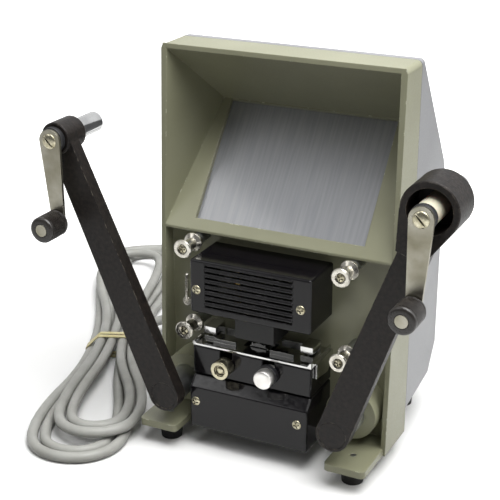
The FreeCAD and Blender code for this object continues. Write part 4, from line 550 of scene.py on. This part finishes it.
# Ground glass: cool grey with faint upright streaks, under a skin that shines a little.
ground_glass, tree, shader = new_material("ground_glass", IOR=1.9, Coat_Weight=1.0, Coat_Roughness=0.10,
                                          Coat_IOR=1.5)
streaks = spread(tree, noise(tree, size=1.6, stretch=(1, 0.04, 0.04)), 0.35, 0.65)
tone = blend_colours(tree, streaks, linear("808286"), linear("74767b"))
tree.links.new(tone, shader.inputs["Base Color"])
frost = noise(tree, size=0.5, detail=2.0)
tree.links.new(spread(tree, frost, 0.3, 0.7, 0.34, 0.46), shader.inputs["Roughness"])
raised(tree, shader, frost, relief=0.02)
dress(ground_glass, "screen_glass")
# Air-dried paint on steel: flat black, a little dusty at its edges.
clamp_paint = coated("matt_black_paint", "1b1b1b", "242424", grain=0.8, relief=0.02, rough=0.6,
                     edge_wear_and_highlight="4c4c4c", edge=0.4, edge_wear_and_highlight_spread=0.3)
dress(clamp_paint, "screen_clamp", "condenser_holder")

# Rear cover
# A folded and welded sheet-steel hood closes the back. Its enamel is a plain mid grey, a tone
# bluer than the casting.

# Stove enamel on sheet steel: satin and even, with a fine raised grain.
grey_enamel = coated("grey_stove_enamel", "8f9093", "858689", grain=0.8, relief=0.025, rough=0.40,
                     edge_wear_and_highlight="b9babb", edge=0.8, edge_wear_and_highlight_spread=0.15, cloud=70.0)
dress(grey_enamel, "rear_cover")

# Lamp house
# A black moulded box covers the lamp. Eight slots in its face let the heat out between slats that
# are rounded in the mould, and two screws hold it to the panel.
SLAT_COUNT = 8
SLAT_PITCH = 3.7
SLAT_LENGTH = 58.6
SLAT_MIDDLE = -2.22
SLAT_TOP = 124.0
SLAT_FACE = -49.0
SLAT_SET_BACK = 0.35


def new_tree(name, sizes):
    """An empty node tree with a mesh input and named sizes."""
    tree = bpy.data.node_groups.new(name, "GeometryNodeTree")
    tree.interface.new_socket("Geometry", in_out="INPUT", socket_type="NodeSocketGeometry")
    tree.interface.new_socket("Geometry", in_out="OUTPUT", socket_type="NodeSocketGeometry")
    for label, value in sizes.items():
        kind = "NodeSocketInt" if isinstance(value, int) else "NodeSocketFloat"
        tree.interface.new_socket(label, in_out="INPUT", socket_type=kind).default_value = value
    tree.interface.new_socket("Material", in_out="INPUT", socket_type="NodeSocketMaterial")
    return tree, tree.nodes.new("NodeGroupInput").outputs


def vector(tree, **parts):
    """A vector from its X, Y and Z, nought where none is given."""
    return add_node(tree, "ShaderNodeCombineXYZ", parts).outputs[0]


def rod(tree, corners, radius, length):
    """A round bar that stands on end about the middle."""
    return add_node(tree, "GeometryNodeMeshCylinder", {
        "Vertices": corners, "Radius": radius, "Depth": length}).outputs["Mesh"]


def moved(tree, geometry, **change):
    """Geometry with one Translation, Rotation or Scale."""
    return add_node(tree, "GeometryNodeTransform", {"Geometry": geometry, **change}).outputs[0]


def copies(tree, points, piece, **change):
    """One copy of a piece on each of the points."""
    return add_node(tree, "GeometryNodeInstanceOnPoints", {
        "Points": points, "Instance": piece, **change}).outputs[0]


def end_tree(tree, geometry, inputs):
    """Realise the instances, give them their finish and hand them out."""
    real = add_node(tree, "GeometryNodeRealizeInstances", {"Geometry": geometry}).outputs[0]
    finished = add_node(tree, "GeometryNodeSetMaterial", {"Geometry": real, "Material": inputs["Material"]})
    tree.links.new(finished.outputs[0], tree.nodes.new("NodeGroupOutput").inputs[0])


def grown(name, tree, points, values, material):
    """Run a tree on a few points and keep the plain mesh that it makes."""
    mesh = bpy.data.meshes.new(name)
    mesh.from_pydata([Vector(point) * MM for point in points], [], [])
    host = into_scene(name + "_host", mesh)
    modifier = host.modifiers.new("shape", "NODES")
    modifier.node_group = tree
    for item in tree.interface.items_tree:
        if item.in_out == "INPUT" and item.name in values:
            modifier[item.identifier] = values[item.name]
        if item.in_out == "INPUT" and item.name == "Material":
            modifier[item.identifier] = material
    result = bpy.data.meshes.new_from_object(host.evaluated_get(bpy.context.evaluated_depsgraph_get()))
    host.modifiers.clear()
    bpy.data.objects.remove(host)
    shape = bmesh.new()
    shape.from_mesh(result)
    return mesh_from(name, shape)


# One rounded bar lies on each point of a short upright row.
slat_tree, sizes = new_tree("slat_row", {
    "Count": SLAT_COUNT, "Pitch": SLAT_PITCH * MM, "Length": SLAT_LENGTH * MM, "Half Height": 0.9 * MM,
    "Swell": 1.1})
pitch = vector(slat_tree, Z=calculated(slat_tree, "MULTIPLY", sizes["Pitch"], -1.0))
row = add_node(slat_tree, "GeometryNodeMeshLine", {"Count": sizes["Count"], "Offset": pitch}).outputs[0]
bar = moved(slat_tree, rod(slat_tree, 20, sizes["Half Height"], sizes["Length"]),
            Rotation=(0, math.pi / 2, 0))
swollen = moved(slat_tree, bar, Scale=vector(slat_tree, X=1.0, Y=sizes["Swell"], Z=1.0))
end_tree(slat_tree, copies(slat_tree, sizes["Geometry"], copies(slat_tree, row, swollen)), sizes)
# Pressed phenolic or styrene: deep black, glossy and lightly scratched; its edges are bright from softened
# normals and from a painted highlight in pale grey.
gloss_black = coated("glossy_black_moulding", "0d0c0e", "131114", grain=2.2, relief=0.002, rough=0.11,
                     edge_wear_and_highlight="4a484b", edge=1.3, edge_wear_and_highlight_spread=0.3, Specular_IOR_Level=0.3)
dress(gloss_black, "lamp_house", "prism_housing", "lower_cover")
slat_points = [(SLAT_MIDDLE, SLAT_FACE + SLAT_SET_BACK, SLAT_TOP)]
slat_mesh = grown("lamp_house_slats", slat_tree, slat_points, {}, gloss_black)
place_mesh("lamp_house_slats", slat_mesh, gloss_black, "housing", "gloss_black")

# Lamp and condenser
# A small projector bulb lies in a moulded socket behind the slats. A black holder with a plano-convex
# lens gathers its light down onto the film.

# Clear blown glass: colourless, with only its reflections to show it.
clear_glass, tree, shader = new_material("clear_glass", Transmission_Weight=1.0, IOR=1.5, Roughness=0.02)
raised(tree, shader, noise(tree, size=6.0), relief=0.02)
dress(clear_glass, "lamp_bulb", "condenser_lens", "lens_elements", "rotating_prism", "stage_mirror")
dress(brass, "bulb_cap")
# Moulded urea plastic: off-white and slightly yellowed by heat.
socket_urea = coated("yellowed_urea", "cfc9b6", "c0b698", grain=1.2, relief=0.01, rough=0.35)
dress(socket_urea, "lamp_socket")

# Film track and stage
# The film runs over a folded, chromed steel gate between two guides, across a sprocket whose teeth turn
# the glass prism inside it. The prism sits in a black moulded box.

# Chrome plate: it mirrors the room, with a few dull smears.
chrome = plated("bright_chrome", "d2d2d1", "bcbcba", rough=0.11, relief=0.001)
dress(chrome, "film_track", "film_guides", "film_sprocket")
# Worn chrome plate: warmer, and dulled by film and fingers.
worn_chrome = plated("worn_chrome", "d6d3ca", "b7b3a8", rough=0.26, smear=4.0, relief=0.003)
dress(worn_chrome, "upper_left_roller", "upper_right_roller", "lower_left_roller", "lower_right_roller")

# Lamp switch
# A small chromed blade with a rounded top stands on the panel left of the lamp house. Its pin
# goes through the panel to the switch.
LEVER_PIVOT = 3.12
BLADE_HALF_WIDTH = 0.7
# The blade's lower outline starts from its front and its pivot; its top is a quarter of an oval.
BLADE_FRONT = [(1.95, -1.0), (0.5, -1.0), (0.08, 0.4)]
OVAL_BACK = 1.9
OVAL_DEPTH = 1.85
OVAL_FOOT = 4.2
OVAL_HEIGHT = 4.1
OVAL_STEPS = 8
LEVER_EYE = [(0, 0.8), (2.9, 0.8), (3.1, 1.0), (3.1, 1.95), (1.0, 1.95)]


def set_out(profile, start):
    """A profile whose places are counted from a start."""
    return [(radius, start + place) for radius, place in profile]


low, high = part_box("lamp_switch_lever")
lever_x = (low.x + high.x) / 2 / MM
lever_z = low.z / MM + LEVER_PIVOT
front = low.y / MM
outline = [(front + across, lever_z + up) for across, up in BLADE_FRONT]
for step in range(OVAL_STEPS + 1):
    angle = math.pi / 2 * step / OVAL_STEPS
    outline.append((front + OVAL_BACK - OVAL_DEPTH * math.cos(angle),
                    high.z / MM - OVAL_FOOT + OVAL_HEIGHT * math.sin(angle)))
shape = bmesh.new()
skinned(shape, [[((lever_x + side) * MM, across * MM, up * MM) for across, up in outline]
                for side in (-BLADE_HALF_WIDTH, BLADE_HALF_WIDTH)])
turned(shape, set_out(LEVER_EYE, front) + [(1.0, high.y / MM), (0, high.y / MM)], (lever_x, lever_z))
place_mesh("lamp_switch_blade", mesh_from("lamp_switch_blade", shape), worn_chrome, "lamp_switch",
           "bright_chrome", "lamp_switch_lever")

# Screws that show
# Cross-head screws hold the boxes and the rollers. Each is cold-headed from steel and plated in a
# warm, worn nickel, and no two recesses stand at the same angle.
BOX_SCREW_RADIUS = 3.0
HEAD_HEIGHT = 1.2
ROLLER_SCREW_RADIUS = 2.9
ROLLER_SCREW_INSET = 2.8
# A block of this many metres keeps only the front half of the ball that makes a head.
HALF_SPACE = 0.04
# The random node's sockets for fractions go by number, because their names repeat.
RANDOM_LEAST = 2
RANDOM_MOST = 3
RANDOM_RESULT = 1

screw_tree, sizes = new_tree("driven_screws", {
    "Head Radius": BOX_SCREW_RADIUS * MM, "Head Height": HEAD_HEIGHT * MM, "Shank Radius": 1.5 * MM,
    "Shank Length": 10 * MM, "Recess Length": 4.0 * MM, "Recess Width": 1.0 * MM,
    "Recess Depth": 1.6 * MM, "Recess Bars": 2, "Seed": 4, "Least Turn": 0.0, "Most Turn": 1.5})
# The head is the front half of a flattened ball.
ball = add_node(screw_tree, "GeometryNodeMeshUVSphere", {
    "Segments": 40, "Rings": 20, "Radius": sizes["Head Radius"]}).outputs["Mesh"]
flatness = calculated(screw_tree, "DIVIDE", sizes["Head Height"], sizes["Head Radius"])
dome = moved(screw_tree, ball, Scale=vector(screw_tree, X=1.0, Y=1.0, Z=flatness))
block = add_node(screw_tree, "GeometryNodeMeshCube", {"Size": (HALF_SPACE,) * 3}).outputs["Mesh"]
head = add_node(screw_tree, "GeometryNodeMeshBoolean", {}, solver="EXACT", operation="INTERSECT")
screw_tree.links.new(dome, head.inputs[1])
screw_tree.links.new(moved(screw_tree, block, Translation=(0, 0, HALF_SPACE / 2)), head.inputs[1])
shank_middle = vector(screw_tree, Z=calculated(screw_tree, "MULTIPLY", sizes["Shank Length"], -0.5))
shank = moved(screw_tree, rod(screw_tree, 20, sizes["Shank Radius"], sizes["Shank Length"]),
              Translation=shank_middle)
# The recess is one bar, or two at right angles, cut out of the head.
bar_size = vector(screw_tree, X=sizes["Recess Length"], Y=sizes["Recess Width"], Z=sizes["Recess Depth"])
bar = add_node(screw_tree, "GeometryNodeMeshCube", {"Size": bar_size}).outputs["Mesh"]
bar_points = add_node(screw_tree, "GeometryNodeMeshLine", {
    "Count": sizes["Recess Bars"], "Offset": (0, 0, 0)}).outputs[0]
order = add_node(screw_tree, "GeometryNodeInputIndex", {}).outputs[0]
bar_turn = vector(screw_tree, Z=calculated(screw_tree, "MULTIPLY", order, math.pi / 2))
bars = copies(screw_tree, bar_points, bar, Rotation=bar_turn)
cross = add_node(screw_tree, "GeometryNodeRealizeInstances", {"Geometry": bars}).outputs[0]
cross_up = moved(screw_tree, cross, Translation=vector(screw_tree, Z=sizes["Head Height"]))
cut_head = add_node(screw_tree, "GeometryNodeMeshBoolean", {"Self Intersection": True}, solver="EXACT",
                    operation="DIFFERENCE")
screw_tree.links.new(head.outputs["Mesh"], cut_head.inputs[0])
screw_tree.links.new(cross_up, cut_head.inputs[1])
whole = add_node(screw_tree, "GeometryNodeJoinGeometry", {})
screw_tree.links.new(cut_head.outputs["Mesh"], whole.inputs[0])
screw_tree.links.new(shank, whole.inputs[0])
turn = add_node(screw_tree, "FunctionNodeRandomValue", {
    "Seed": sizes["Seed"], RANDOM_LEAST: sizes["Least Turn"], RANDOM_MOST: sizes["Most Turn"]},
    data_type="FLOAT").outputs[RANDOM_RESULT]
screws = copies(screw_tree, sizes["Geometry"], whole.outputs[0], Rotation=(math.pi / 2, 0, 0))
spun = add_node(screw_tree, "GeometryNodeRotateInstances", {
    "Instances": screws, "Rotation": vector(screw_tree, Z=turn)}).outputs[0]
end_tree(screw_tree, spun, sizes)

# Worn nickel plate over steel: warm and bright, darker in its smears, and darkened by painted shade in the
# recess.
screw_nickel = plated("worn_nickel", "c9c4ad", "9a9379", rough=0.28, smear=3.0, painted_hollow_shade=1.2)
low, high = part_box("box_screws")
left = low.x / MM + BOX_SCREW_RADIUS
right = high.x / MM - BOX_SCREW_RADIUS
upper = high.z / MM - BOX_SCREW_RADIUS
lower = low.z / MM + BOX_SCREW_RADIUS
box_points = [(left, SLAT_FACE, upper), (right, SLAT_FACE, upper),
              (left, low.y / MM + HEAD_HEIGHT, lower), (right, low.y / MM + HEAD_HEIGHT, lower)]
box_mesh = grown("box_screws_crossed", screw_tree, box_points, {"Shank Length": 34 * MM}, screw_nickel)
place_mesh("box_screws_crossed", box_mesh, screw_nickel, "housing", "screw_steel", "box_screws")
low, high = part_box("roller_screws")
inset = ROLLER_SCREW_INSET * MM
roller_points = [(x / MM, high.y / MM, z / MM) for x in (low.x + inset, high.x - inset)
                 for z in (low.z + inset, high.z - inset)]
roller_values = {"Head Radius": ROLLER_SCREW_RADIUS * MM, "Head Height": 1.3 * MM, "Shank Length": 0.5 * MM,
                 "Shank Radius": 1.2 * MM, "Seed": 9}
roller_mesh = grown("roller_screws_crossed", screw_tree, roller_points, roller_values, screw_nickel)
place_mesh("roller_screws_crossed", roller_mesh, screw_nickel, "housing", "screw_steel", "roller_screws")

# Focus knob and marker button
# The focus knob is turned from nickel-plated brass, with a screw sunk in its face, and its shaft runs
# back to the lens. The marker button beside it is turned aluminium and slides against a spring.

# The knob's profiles start from its front and its back, the button's from its front and the sleeve's
# from the stage.
KNOB_FACE = [(0, 0.7), (1.5, 0.8), (2.1, 1.2), (2.15, 2.1), (3.1, 2.1), (3.25, 1.5), (3.5, 1.3),
             (3.7, 0.15), (3.9, 0), (5.4, 0), (5.85, 0.2), (6.0, 0.6)]
KNOB_REAR = [(6.0, -0.4), (5.6, 0), (2.0, 0)]
KNOB_LENGTH = 8.9
BUTTON_PROFILE = [(0, 0), (3.4, 0.06), (5.0, 0.22), (5.7, 0.6), (6.0, 1.3), (6.0, 5.6), (5.8, 6.2),
                  (3.2, 6.2), (3.2, 13.4), (4.8, 13.4), (4.8, 14.4), (1.6, 14.4)]
GUIDE_PROFILE = [(6.12, -3.4), (6.45, -3.4), (6.7, -3.1), (6.7, 0.1), (6.12, 0.1)]


def turned_piece(name, profile, centre, material, body, slot, *replaced):
    """Put one turned piece into the scene."""
    shape = bmesh.new()
    turned(shape, profile, centre)
    place_mesh(name, mesh_from(name, shape), material, body, slot, *replaced)


low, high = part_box("focus_knob")
knob_x = (low.x + high.x) / 2 / MM
knob_z = (low.z + high.z) / 2 / MM
front = low.y / MM
# Nickel plate over turned brass: warm and bright, with the tool's fine rings and painted shade in its
# groove.
knob_nickel = plated("turned_nickel", "cbc5ae", "b0a98e", rough=0.24, brush=(1, 0.1, 1), relief=0.006,
                     painted_hollow_shade=1.6)
turned_piece("focus_knob_turned", set_out(KNOB_FACE, front) + set_out(KNOB_REAR, front + KNOB_LENGTH)
             + [(2.0, high.y / MM), (0, high.y / MM)], (knob_x, knob_z), knob_nickel, "focus_knob",
             "knob_cream", "focus_knob")
low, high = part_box("marker_button")
knob_x = (low.x + high.x) / 2 / MM
# Turned and etched aluminium: pale, even and satin.
button_metal = plated("satin_aluminium", "f2f0ec", "e6e4e0", rough=0.42)
turned_piece("marker_button_turned", set_out(BUTTON_PROFILE, low.y / MM)
             + [(1.6, high.y / MM), (0, high.y / MM)], (knob_x, knob_z), button_metal, "marker_button",
             "button_white", "marker_button")
# A thin black sleeve on the stage guides the button and hides its stem.
stage_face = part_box("prism_housing")[0].y / MM
turned_piece("marker_sleeve", set_out(GUIDE_PROFILE, stage_face), (knob_x, knob_z), black_moulding,
             "housing", "gloss_black")
# A wound wire spring behind the button pushes it out.
WIRE_RADIUS = 0.28
low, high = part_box("marker_spring")
spring_length = (high.y - low.y) / MM
spring_tree, sizes = new_tree("coil_spring", {
    "Turns": 7.0, "Radius": 2.25 * MM, "Length": (spring_length - 2 * WIRE_RADIUS) * MM,
    "Wire Radius": WIRE_RADIUS * MM})
winding = add_node(spring_tree, "GeometryNodeCurveSpiral", {
    "Resolution": 24, "Rotations": sizes["Turns"], "Start Radius": sizes["Radius"],
    "End Radius": sizes["Radius"], "Height": sizes["Length"]}).outputs[0]
section = add_node(spring_tree, "GeometryNodeCurvePrimitiveCircle", {
    "Resolution": 8, "Radius": sizes["Wire Radius"]}).outputs[0]
wire = add_node(spring_tree, "GeometryNodeCurveToMesh", {
    "Curve": winding, "Profile Curve": section, "Fill Caps": True}).outputs[0]
wound = copies(spring_tree, sizes["Geometry"], wire, Rotation=(math.pi / 2, 0, 0))
end_tree(spring_tree, wound, sizes)
# Drawn steel wire: plain, grey and slightly blued.
spring_steel = plated("drawn_steel", "a9acae", "84888b", rough=0.3)
spring_points = [(knob_x, high.y / MM - WIRE_RADIUS, knob_z)]
spring_mesh = grown("marker_coil_spring", spring_tree, spring_points, {}, spring_steel)
spring = place_mesh("marker_coil_spring", spring_mesh, spring_steel, "housing", "spring_steel",
                    "marker_spring")
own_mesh(spring)

# Projection lens and mirrors
# A black anodised barrel carries two lenses and slides for focus. Two silvered glass mirrors on
# bent brackets fold the light up onto the screen.

# Black anodising: a dark satin skin with the metal's sheen in it.
anodised = coated("black_anodising", "1f1f21", "2a2a2c", grain=0.6, relief=0.006, rough=0.34,
                  edge_wear_and_highlight="77777a", edge=0.3, edge_wear_and_highlight_spread=0.4, Metallic=0.6)
dress(anodised, "lens_barrel")
# Silvered glass: a clean mirror, dulled in patches by dust.
silvering, tree, shader = new_material("silvered_glass", Metallic=1.0, Base_Color=linear("eceeed"))
dust = spread(tree, noise(tree, size=5.0, detail=5.0), 0.45, 0.7, 0.02, 0.09)
tree.links.new(dust, shader.inputs["Roughness"])
dress(silvering, "relay_mirror", "main_mirror")

# Winding arms
# Two hollow castings fold about shoulder bolts with flush round caps. They are painted in a black
# crackle, which is rubbed through to the metal along the edges.

# Crackle paint over alloy: black and dull, its edges rubbed bright. The real wrinkles are about half a
# millimetre wide; they are drawn three times coarser so that they show.
crackle = coated("black_crackle_paint", "211c19", "0f0c0b", grain=1.5, relief=0.13, rough=0.46,
                 edge_wear_and_highlight="746d62", edge=0.8, edge_wear_and_highlight_spread=0.45, cloud=2.6, Specular_IOR_Level=0.26)
dress(crackle, "left_arm", "right_arm", "left_arm_bolt", "right_arm_bolt")

# Winding shafts
# Each shaft is polished steel with a push-on spindle for the reel at the back. A black collar seats it
# under the crank, and in the wide right hub it runs in a cream nylon bush.
RIGHT_HUB = (114.457, 187.911)
LEFT_HUB = (-121.257, 195.078)
RIGHT_SHAFT_FRONT = -53.3
LEFT_SHAFT_FRONT = -67.4
SHAFT_RADIUS = 4.0
SPINDLE_RADIUS = 6.35
SPINDLE_SEAT = -47.7
SPINDLE_END = -23.0
RIGHT_BUSH = [(0, -80.35), (6.6, -80.35), (7.0, -79.9), (7.0, -53.8), (6.5, -53.3), (0, -53.3)]
RIGHT_COLLAR = [(0, -83.98), (7.0, -83.98), (7.4, -83.6), (7.4, -80.7), (7.1, -80.3), (0, -80.3)]
LEFT_COLLAR = [(0, -70.98), (7.4, -70.98), (7.8, -70.6), (7.8, -67.7), (7.5, -67.4), (0, -67.4)]
# Ground and polished steel: bright, nearly without grain.
steel = plated("polished_steel", "cfd0d0", "b9babb", rough=0.12, relief=0.001)
# Cast nylon: creamy and waxy, and light goes a little way in.
nylon = coated("cream_nylon", "cdc7b5", "bfb7a1", grain=0.9, relief=0.012, rough=0.42, cloud=14.0,
               Subsurface_Weight=0.1)


def spindle_profile(front):
    """Shaft from the collar through the arm, and the reel spindle with its lead-in."""
    return [(0, front), (SHAFT_RADIUS, front), (SHAFT_RADIUS, SPINDLE_SEAT), (SPINDLE_RADIUS, SPINDLE_SEAT),
            (SPINDLE_RADIUS, SPINDLE_END - 1.2), (5.15, SPINDLE_END), (0, SPINDLE_END)]


turned_piece("right_spindle_steel", spindle_profile(RIGHT_SHAFT_FRONT), RIGHT_HUB, steel, "right_winder",
             "spindle_steel", "right_spindle")
turned_piece("right_hub_bush", RIGHT_BUSH, RIGHT_HUB, nylon, "right_winder", "knob_cream")
turned_piece("right_crank_collar", RIGHT_COLLAR, RIGHT_HUB, black_moulding, "right_winder", "grip_black")
turned_piece("left_spindle_steel", spindle_profile(LEFT_SHAFT_FRONT), LEFT_HUB, steel, "left_winder",
             "spindle_steel", "left_spindle")
turned_piece("left_crank_collar", LEFT_COLLAR, LEFT_HUB, black_moulding, "left_winder", "grip_black")

# Cranks
# A crank is cut from flat steel strip, nickel-plated and brushed along its length. A slotted dome screw
# holds it on the shaft, and the rivet that carries the grip shows as a pale disc.

# Brushed nickel plate: greyish and satin, its brush marks along the strip.
crank_nickel = plated("brushed_nickel", "a09d91", "85816f", rough=0.34, smear=14.0, brush=(1, 1, 0.06),
                      edge=0.35)
dress(crank_nickel, "left_crank", "right_crank")
slot_values = {"Head Radius": 4.8 * MM, "Head Height": 1.6 * MM, "Recess Length": 12 * MM,
               "Recess Width": 1.1 * MM, "Recess Depth": 1.8 * MM, "Recess Bars": 1,
               "Shank Radius": 2 * MM, "Shank Length": 0.8 * MM, "Least Turn": -0.85, "Most Turn": -0.8}
for side, hub in (("left", LEFT_HUB), ("right", RIGHT_HUB)):
    low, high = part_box(side + "_crank_screw")
    screw_points = [(hub[0], high.y / MM, hub[1])]
    screw_mesh = grown(side + "_slotted_screw", screw_tree, screw_points, slot_values, screw_nickel)
    place_mesh(side + "_slotted_screw", screw_mesh, screw_nickel, side + "_winder", "screw_steel",
               side + "_crank_screw")

# Grips
# The grips are turned from black plastic, with a fine straight knurl between two plain rims. Each
# spins on the rivet of its crank.
GRIP_FRONT = [(2.5, 1), (3.9, 1), (3.9, 0.3), (4.2, 0), (6.2, 0), (7.1, 0.3), (7.75, 0.9), (8.0, 1.7),
              (8.0, 2.4), (7.55, 2.7)]
GRIP_REAR = [(7.55, -2.6), (8.0, -2.3), (8.0, -1.3), (7.6, -0.6), (6.4, 0), (2.5, 0)]
GRIP_STEPS = 64
KNURL_COUNT = 72

knurl_tree, sizes = new_tree("knurl", {
    "Count": KNURL_COUNT, "Radius": 7.72 * MM, "Rib Radius": 0.3 * MM, "Length": 11.5 * MM})
circle = add_node(knurl_tree, "GeometryNodeMeshCircle", {
    "Vertices": sizes["Count"], "Radius": sizes["Radius"]}).outputs["Mesh"]
ribs = copies(knurl_tree, circle, rod(knurl_tree, 8, sizes["Rib Radius"], sizes["Length"]))
laid = copies(knurl_tree, sizes["Geometry"], ribs, Rotation=(math.pi / 2, 0, 0))
end_tree(knurl_tree, laid, sizes)
# Turned phenolic plastic: brownish black and satin, its ribs greyed by fingers.
grip_black = coated("turned_black_plastic", "221f1d", "2b2724", grain=0.6, relief=0.008, rough=0.30,
                    edge_wear_and_highlight="5a5650", edge=0.3, edge_wear_and_highlight_spread=0.5)
for side in ("left", "right"):
    low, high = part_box(side + "_grip")
    centre = ((low.x + high.x) / 2 / MM, (low.z + high.z) / 2 / MM)
    front = low.y / MM
    back = high.y / MM
    shape = bmesh.new()
    turned(shape, set_out(GRIP_FRONT, front) + set_out(GRIP_REAR, back), centre, GRIP_STEPS)
    knurl_points = [(centre[0], (front + back) / 2, centre[1])]
    shape.from_mesh(grown(side + "_knurl", knurl_tree, knurl_points, {}, grip_black))
    place_mesh(side + "_grip_knurled", mesh_from(side + "_grip_knurled", shape), grip_black,
               side + "_grip", "grip_black", side + "_grip")

# Room and light
# The viewer stands on a plain white table under a large soft lamp, a little to the right. A weak lamp
# at the front left lifts the screen and the hank, and one at the right fills the shadows on that side.
# The white surroundings show in the metal and the glass.
TABLE_REACH = 4
# The board whitens over these distances, in metres, from a point under the viewer, and the room dims
# between these two directions towards the camera.
FADE_MIDDLE = (-0.02, 0.0, 0.0)
NEAR_FADE = (0.20, 0.50)
FAR_FADE = (0.50, 1.60)
DIM_SIDE = (-0.62, 0.1)

floor_mesh = bpy.data.meshes.new("table")
floor_mesh.from_pydata([(-TABLE_REACH, -TABLE_REACH, 0), (TABLE_REACH, -TABLE_REACH, 0),
                        (TABLE_REACH, TABLE_REACH, 0), (-TABLE_REACH, TABLE_REACH, 0)], [], [(0, 1, 2, 3)])
table = into_scene("table", floor_mesh)
# Matt white board: it fades to plain white away from the viewer, and throws back less light than it shows.
board, tree, shader = new_material("white_board", Roughness=0.7, Specular_IOR_Level=0.2,
                                   Emission_Color=(1, 1, 1, 1))
path = add_node(tree, "ShaderNodeLightPath", {}).outputs
seen = calculated(tree, "MAXIMUM", path["Is Camera Ray"], path["Is Glossy Ray"])
tree.links.new(blend_colours(tree, seen, linear("868582"), linear("fafaf9")), shader.inputs["Base Color"])
ground = add_node(tree, "ShaderNodeTexCoord", {}).outputs["Object"]
away = add_node(tree, "ShaderNodeVectorMath", {
    0: ground, 1: FADE_MIDDLE}, operation="DISTANCE").outputs["Value"]
near_white = spread(tree, away, *NEAR_FADE, 0.0, 0.6)
far_white = spread(tree, away, *FAR_FADE, 0.0, 0.4)
white = calculated(tree, "ADD", near_white, far_white)
glow = calculated(tree, "MULTIPLY", white, path["Is Camera Ray"])
tree.links.new(glow, shader.inputs["Emission Strength"])
floor_mesh.materials.append(board)


def add_lamp(name, power, size, place, aim):
    """A square soft lamp that faces a point."""
    light = bpy.data.lights.new(name, "AREA")
    light.energy = power
    light.size = size
    lamp = into_scene(name, light)
    lamp.location = place
    lamp.rotation_euler = (Vector(aim) - Vector(place)).to_track_quat("-Z", "Y").to_euler()


add_lamp("overhead", power=25, size=1.0, place=(0.35, -0.15, 1.2), aim=(0, 0, 0.1))
add_lamp("left_glow", power=2.4, size=0.5, place=(-0.8, -0.9, 1.1), aim=(0, 0, 0.15))
add_lamp("right_fill", power=5, size=0.8, place=(1.3, 0.2, 0.7), aim=(0, 0, 0.1))
world = bpy.data.worlds.new("studio")
world.use_nodes = True
bpy.context.scene.world = world
tree = world.node_tree
path = add_node(tree, "ShaderNodeLightPath", {}).outputs
mirrored = calculated(tree, "MAXIMUM", path["Is Glossy Ray"], path["Is Transmission Ray"])
facing = add_node(tree, "ShaderNodeTexCoord", {}).outputs["Generated"]
towards = add_node(tree, "ShaderNodeSeparateXYZ", {0: facing}).outputs
# The room behind the camera is dim, and the walls to the sides and the back are white.
room = spread(tree, towards["Y"], *DIM_SIDE, 0.12, 1.0)
shown = calculated(tree, "MULTIPLY", mirrored, room)
lit = spread(tree, path["Is Camera Ray"], 0, 1, 0.18, 1.0)
backdrop = tree.nodes["Background"]
backdrop.inputs["Color"].default_value = (1, 1, 1, 1)
tree.links.new(calculated(tree, "MAXIMUM", shown, lit), backdrop.inputs["Strength"])
bpy.context.scene.view_settings.view_transform = "Standard"
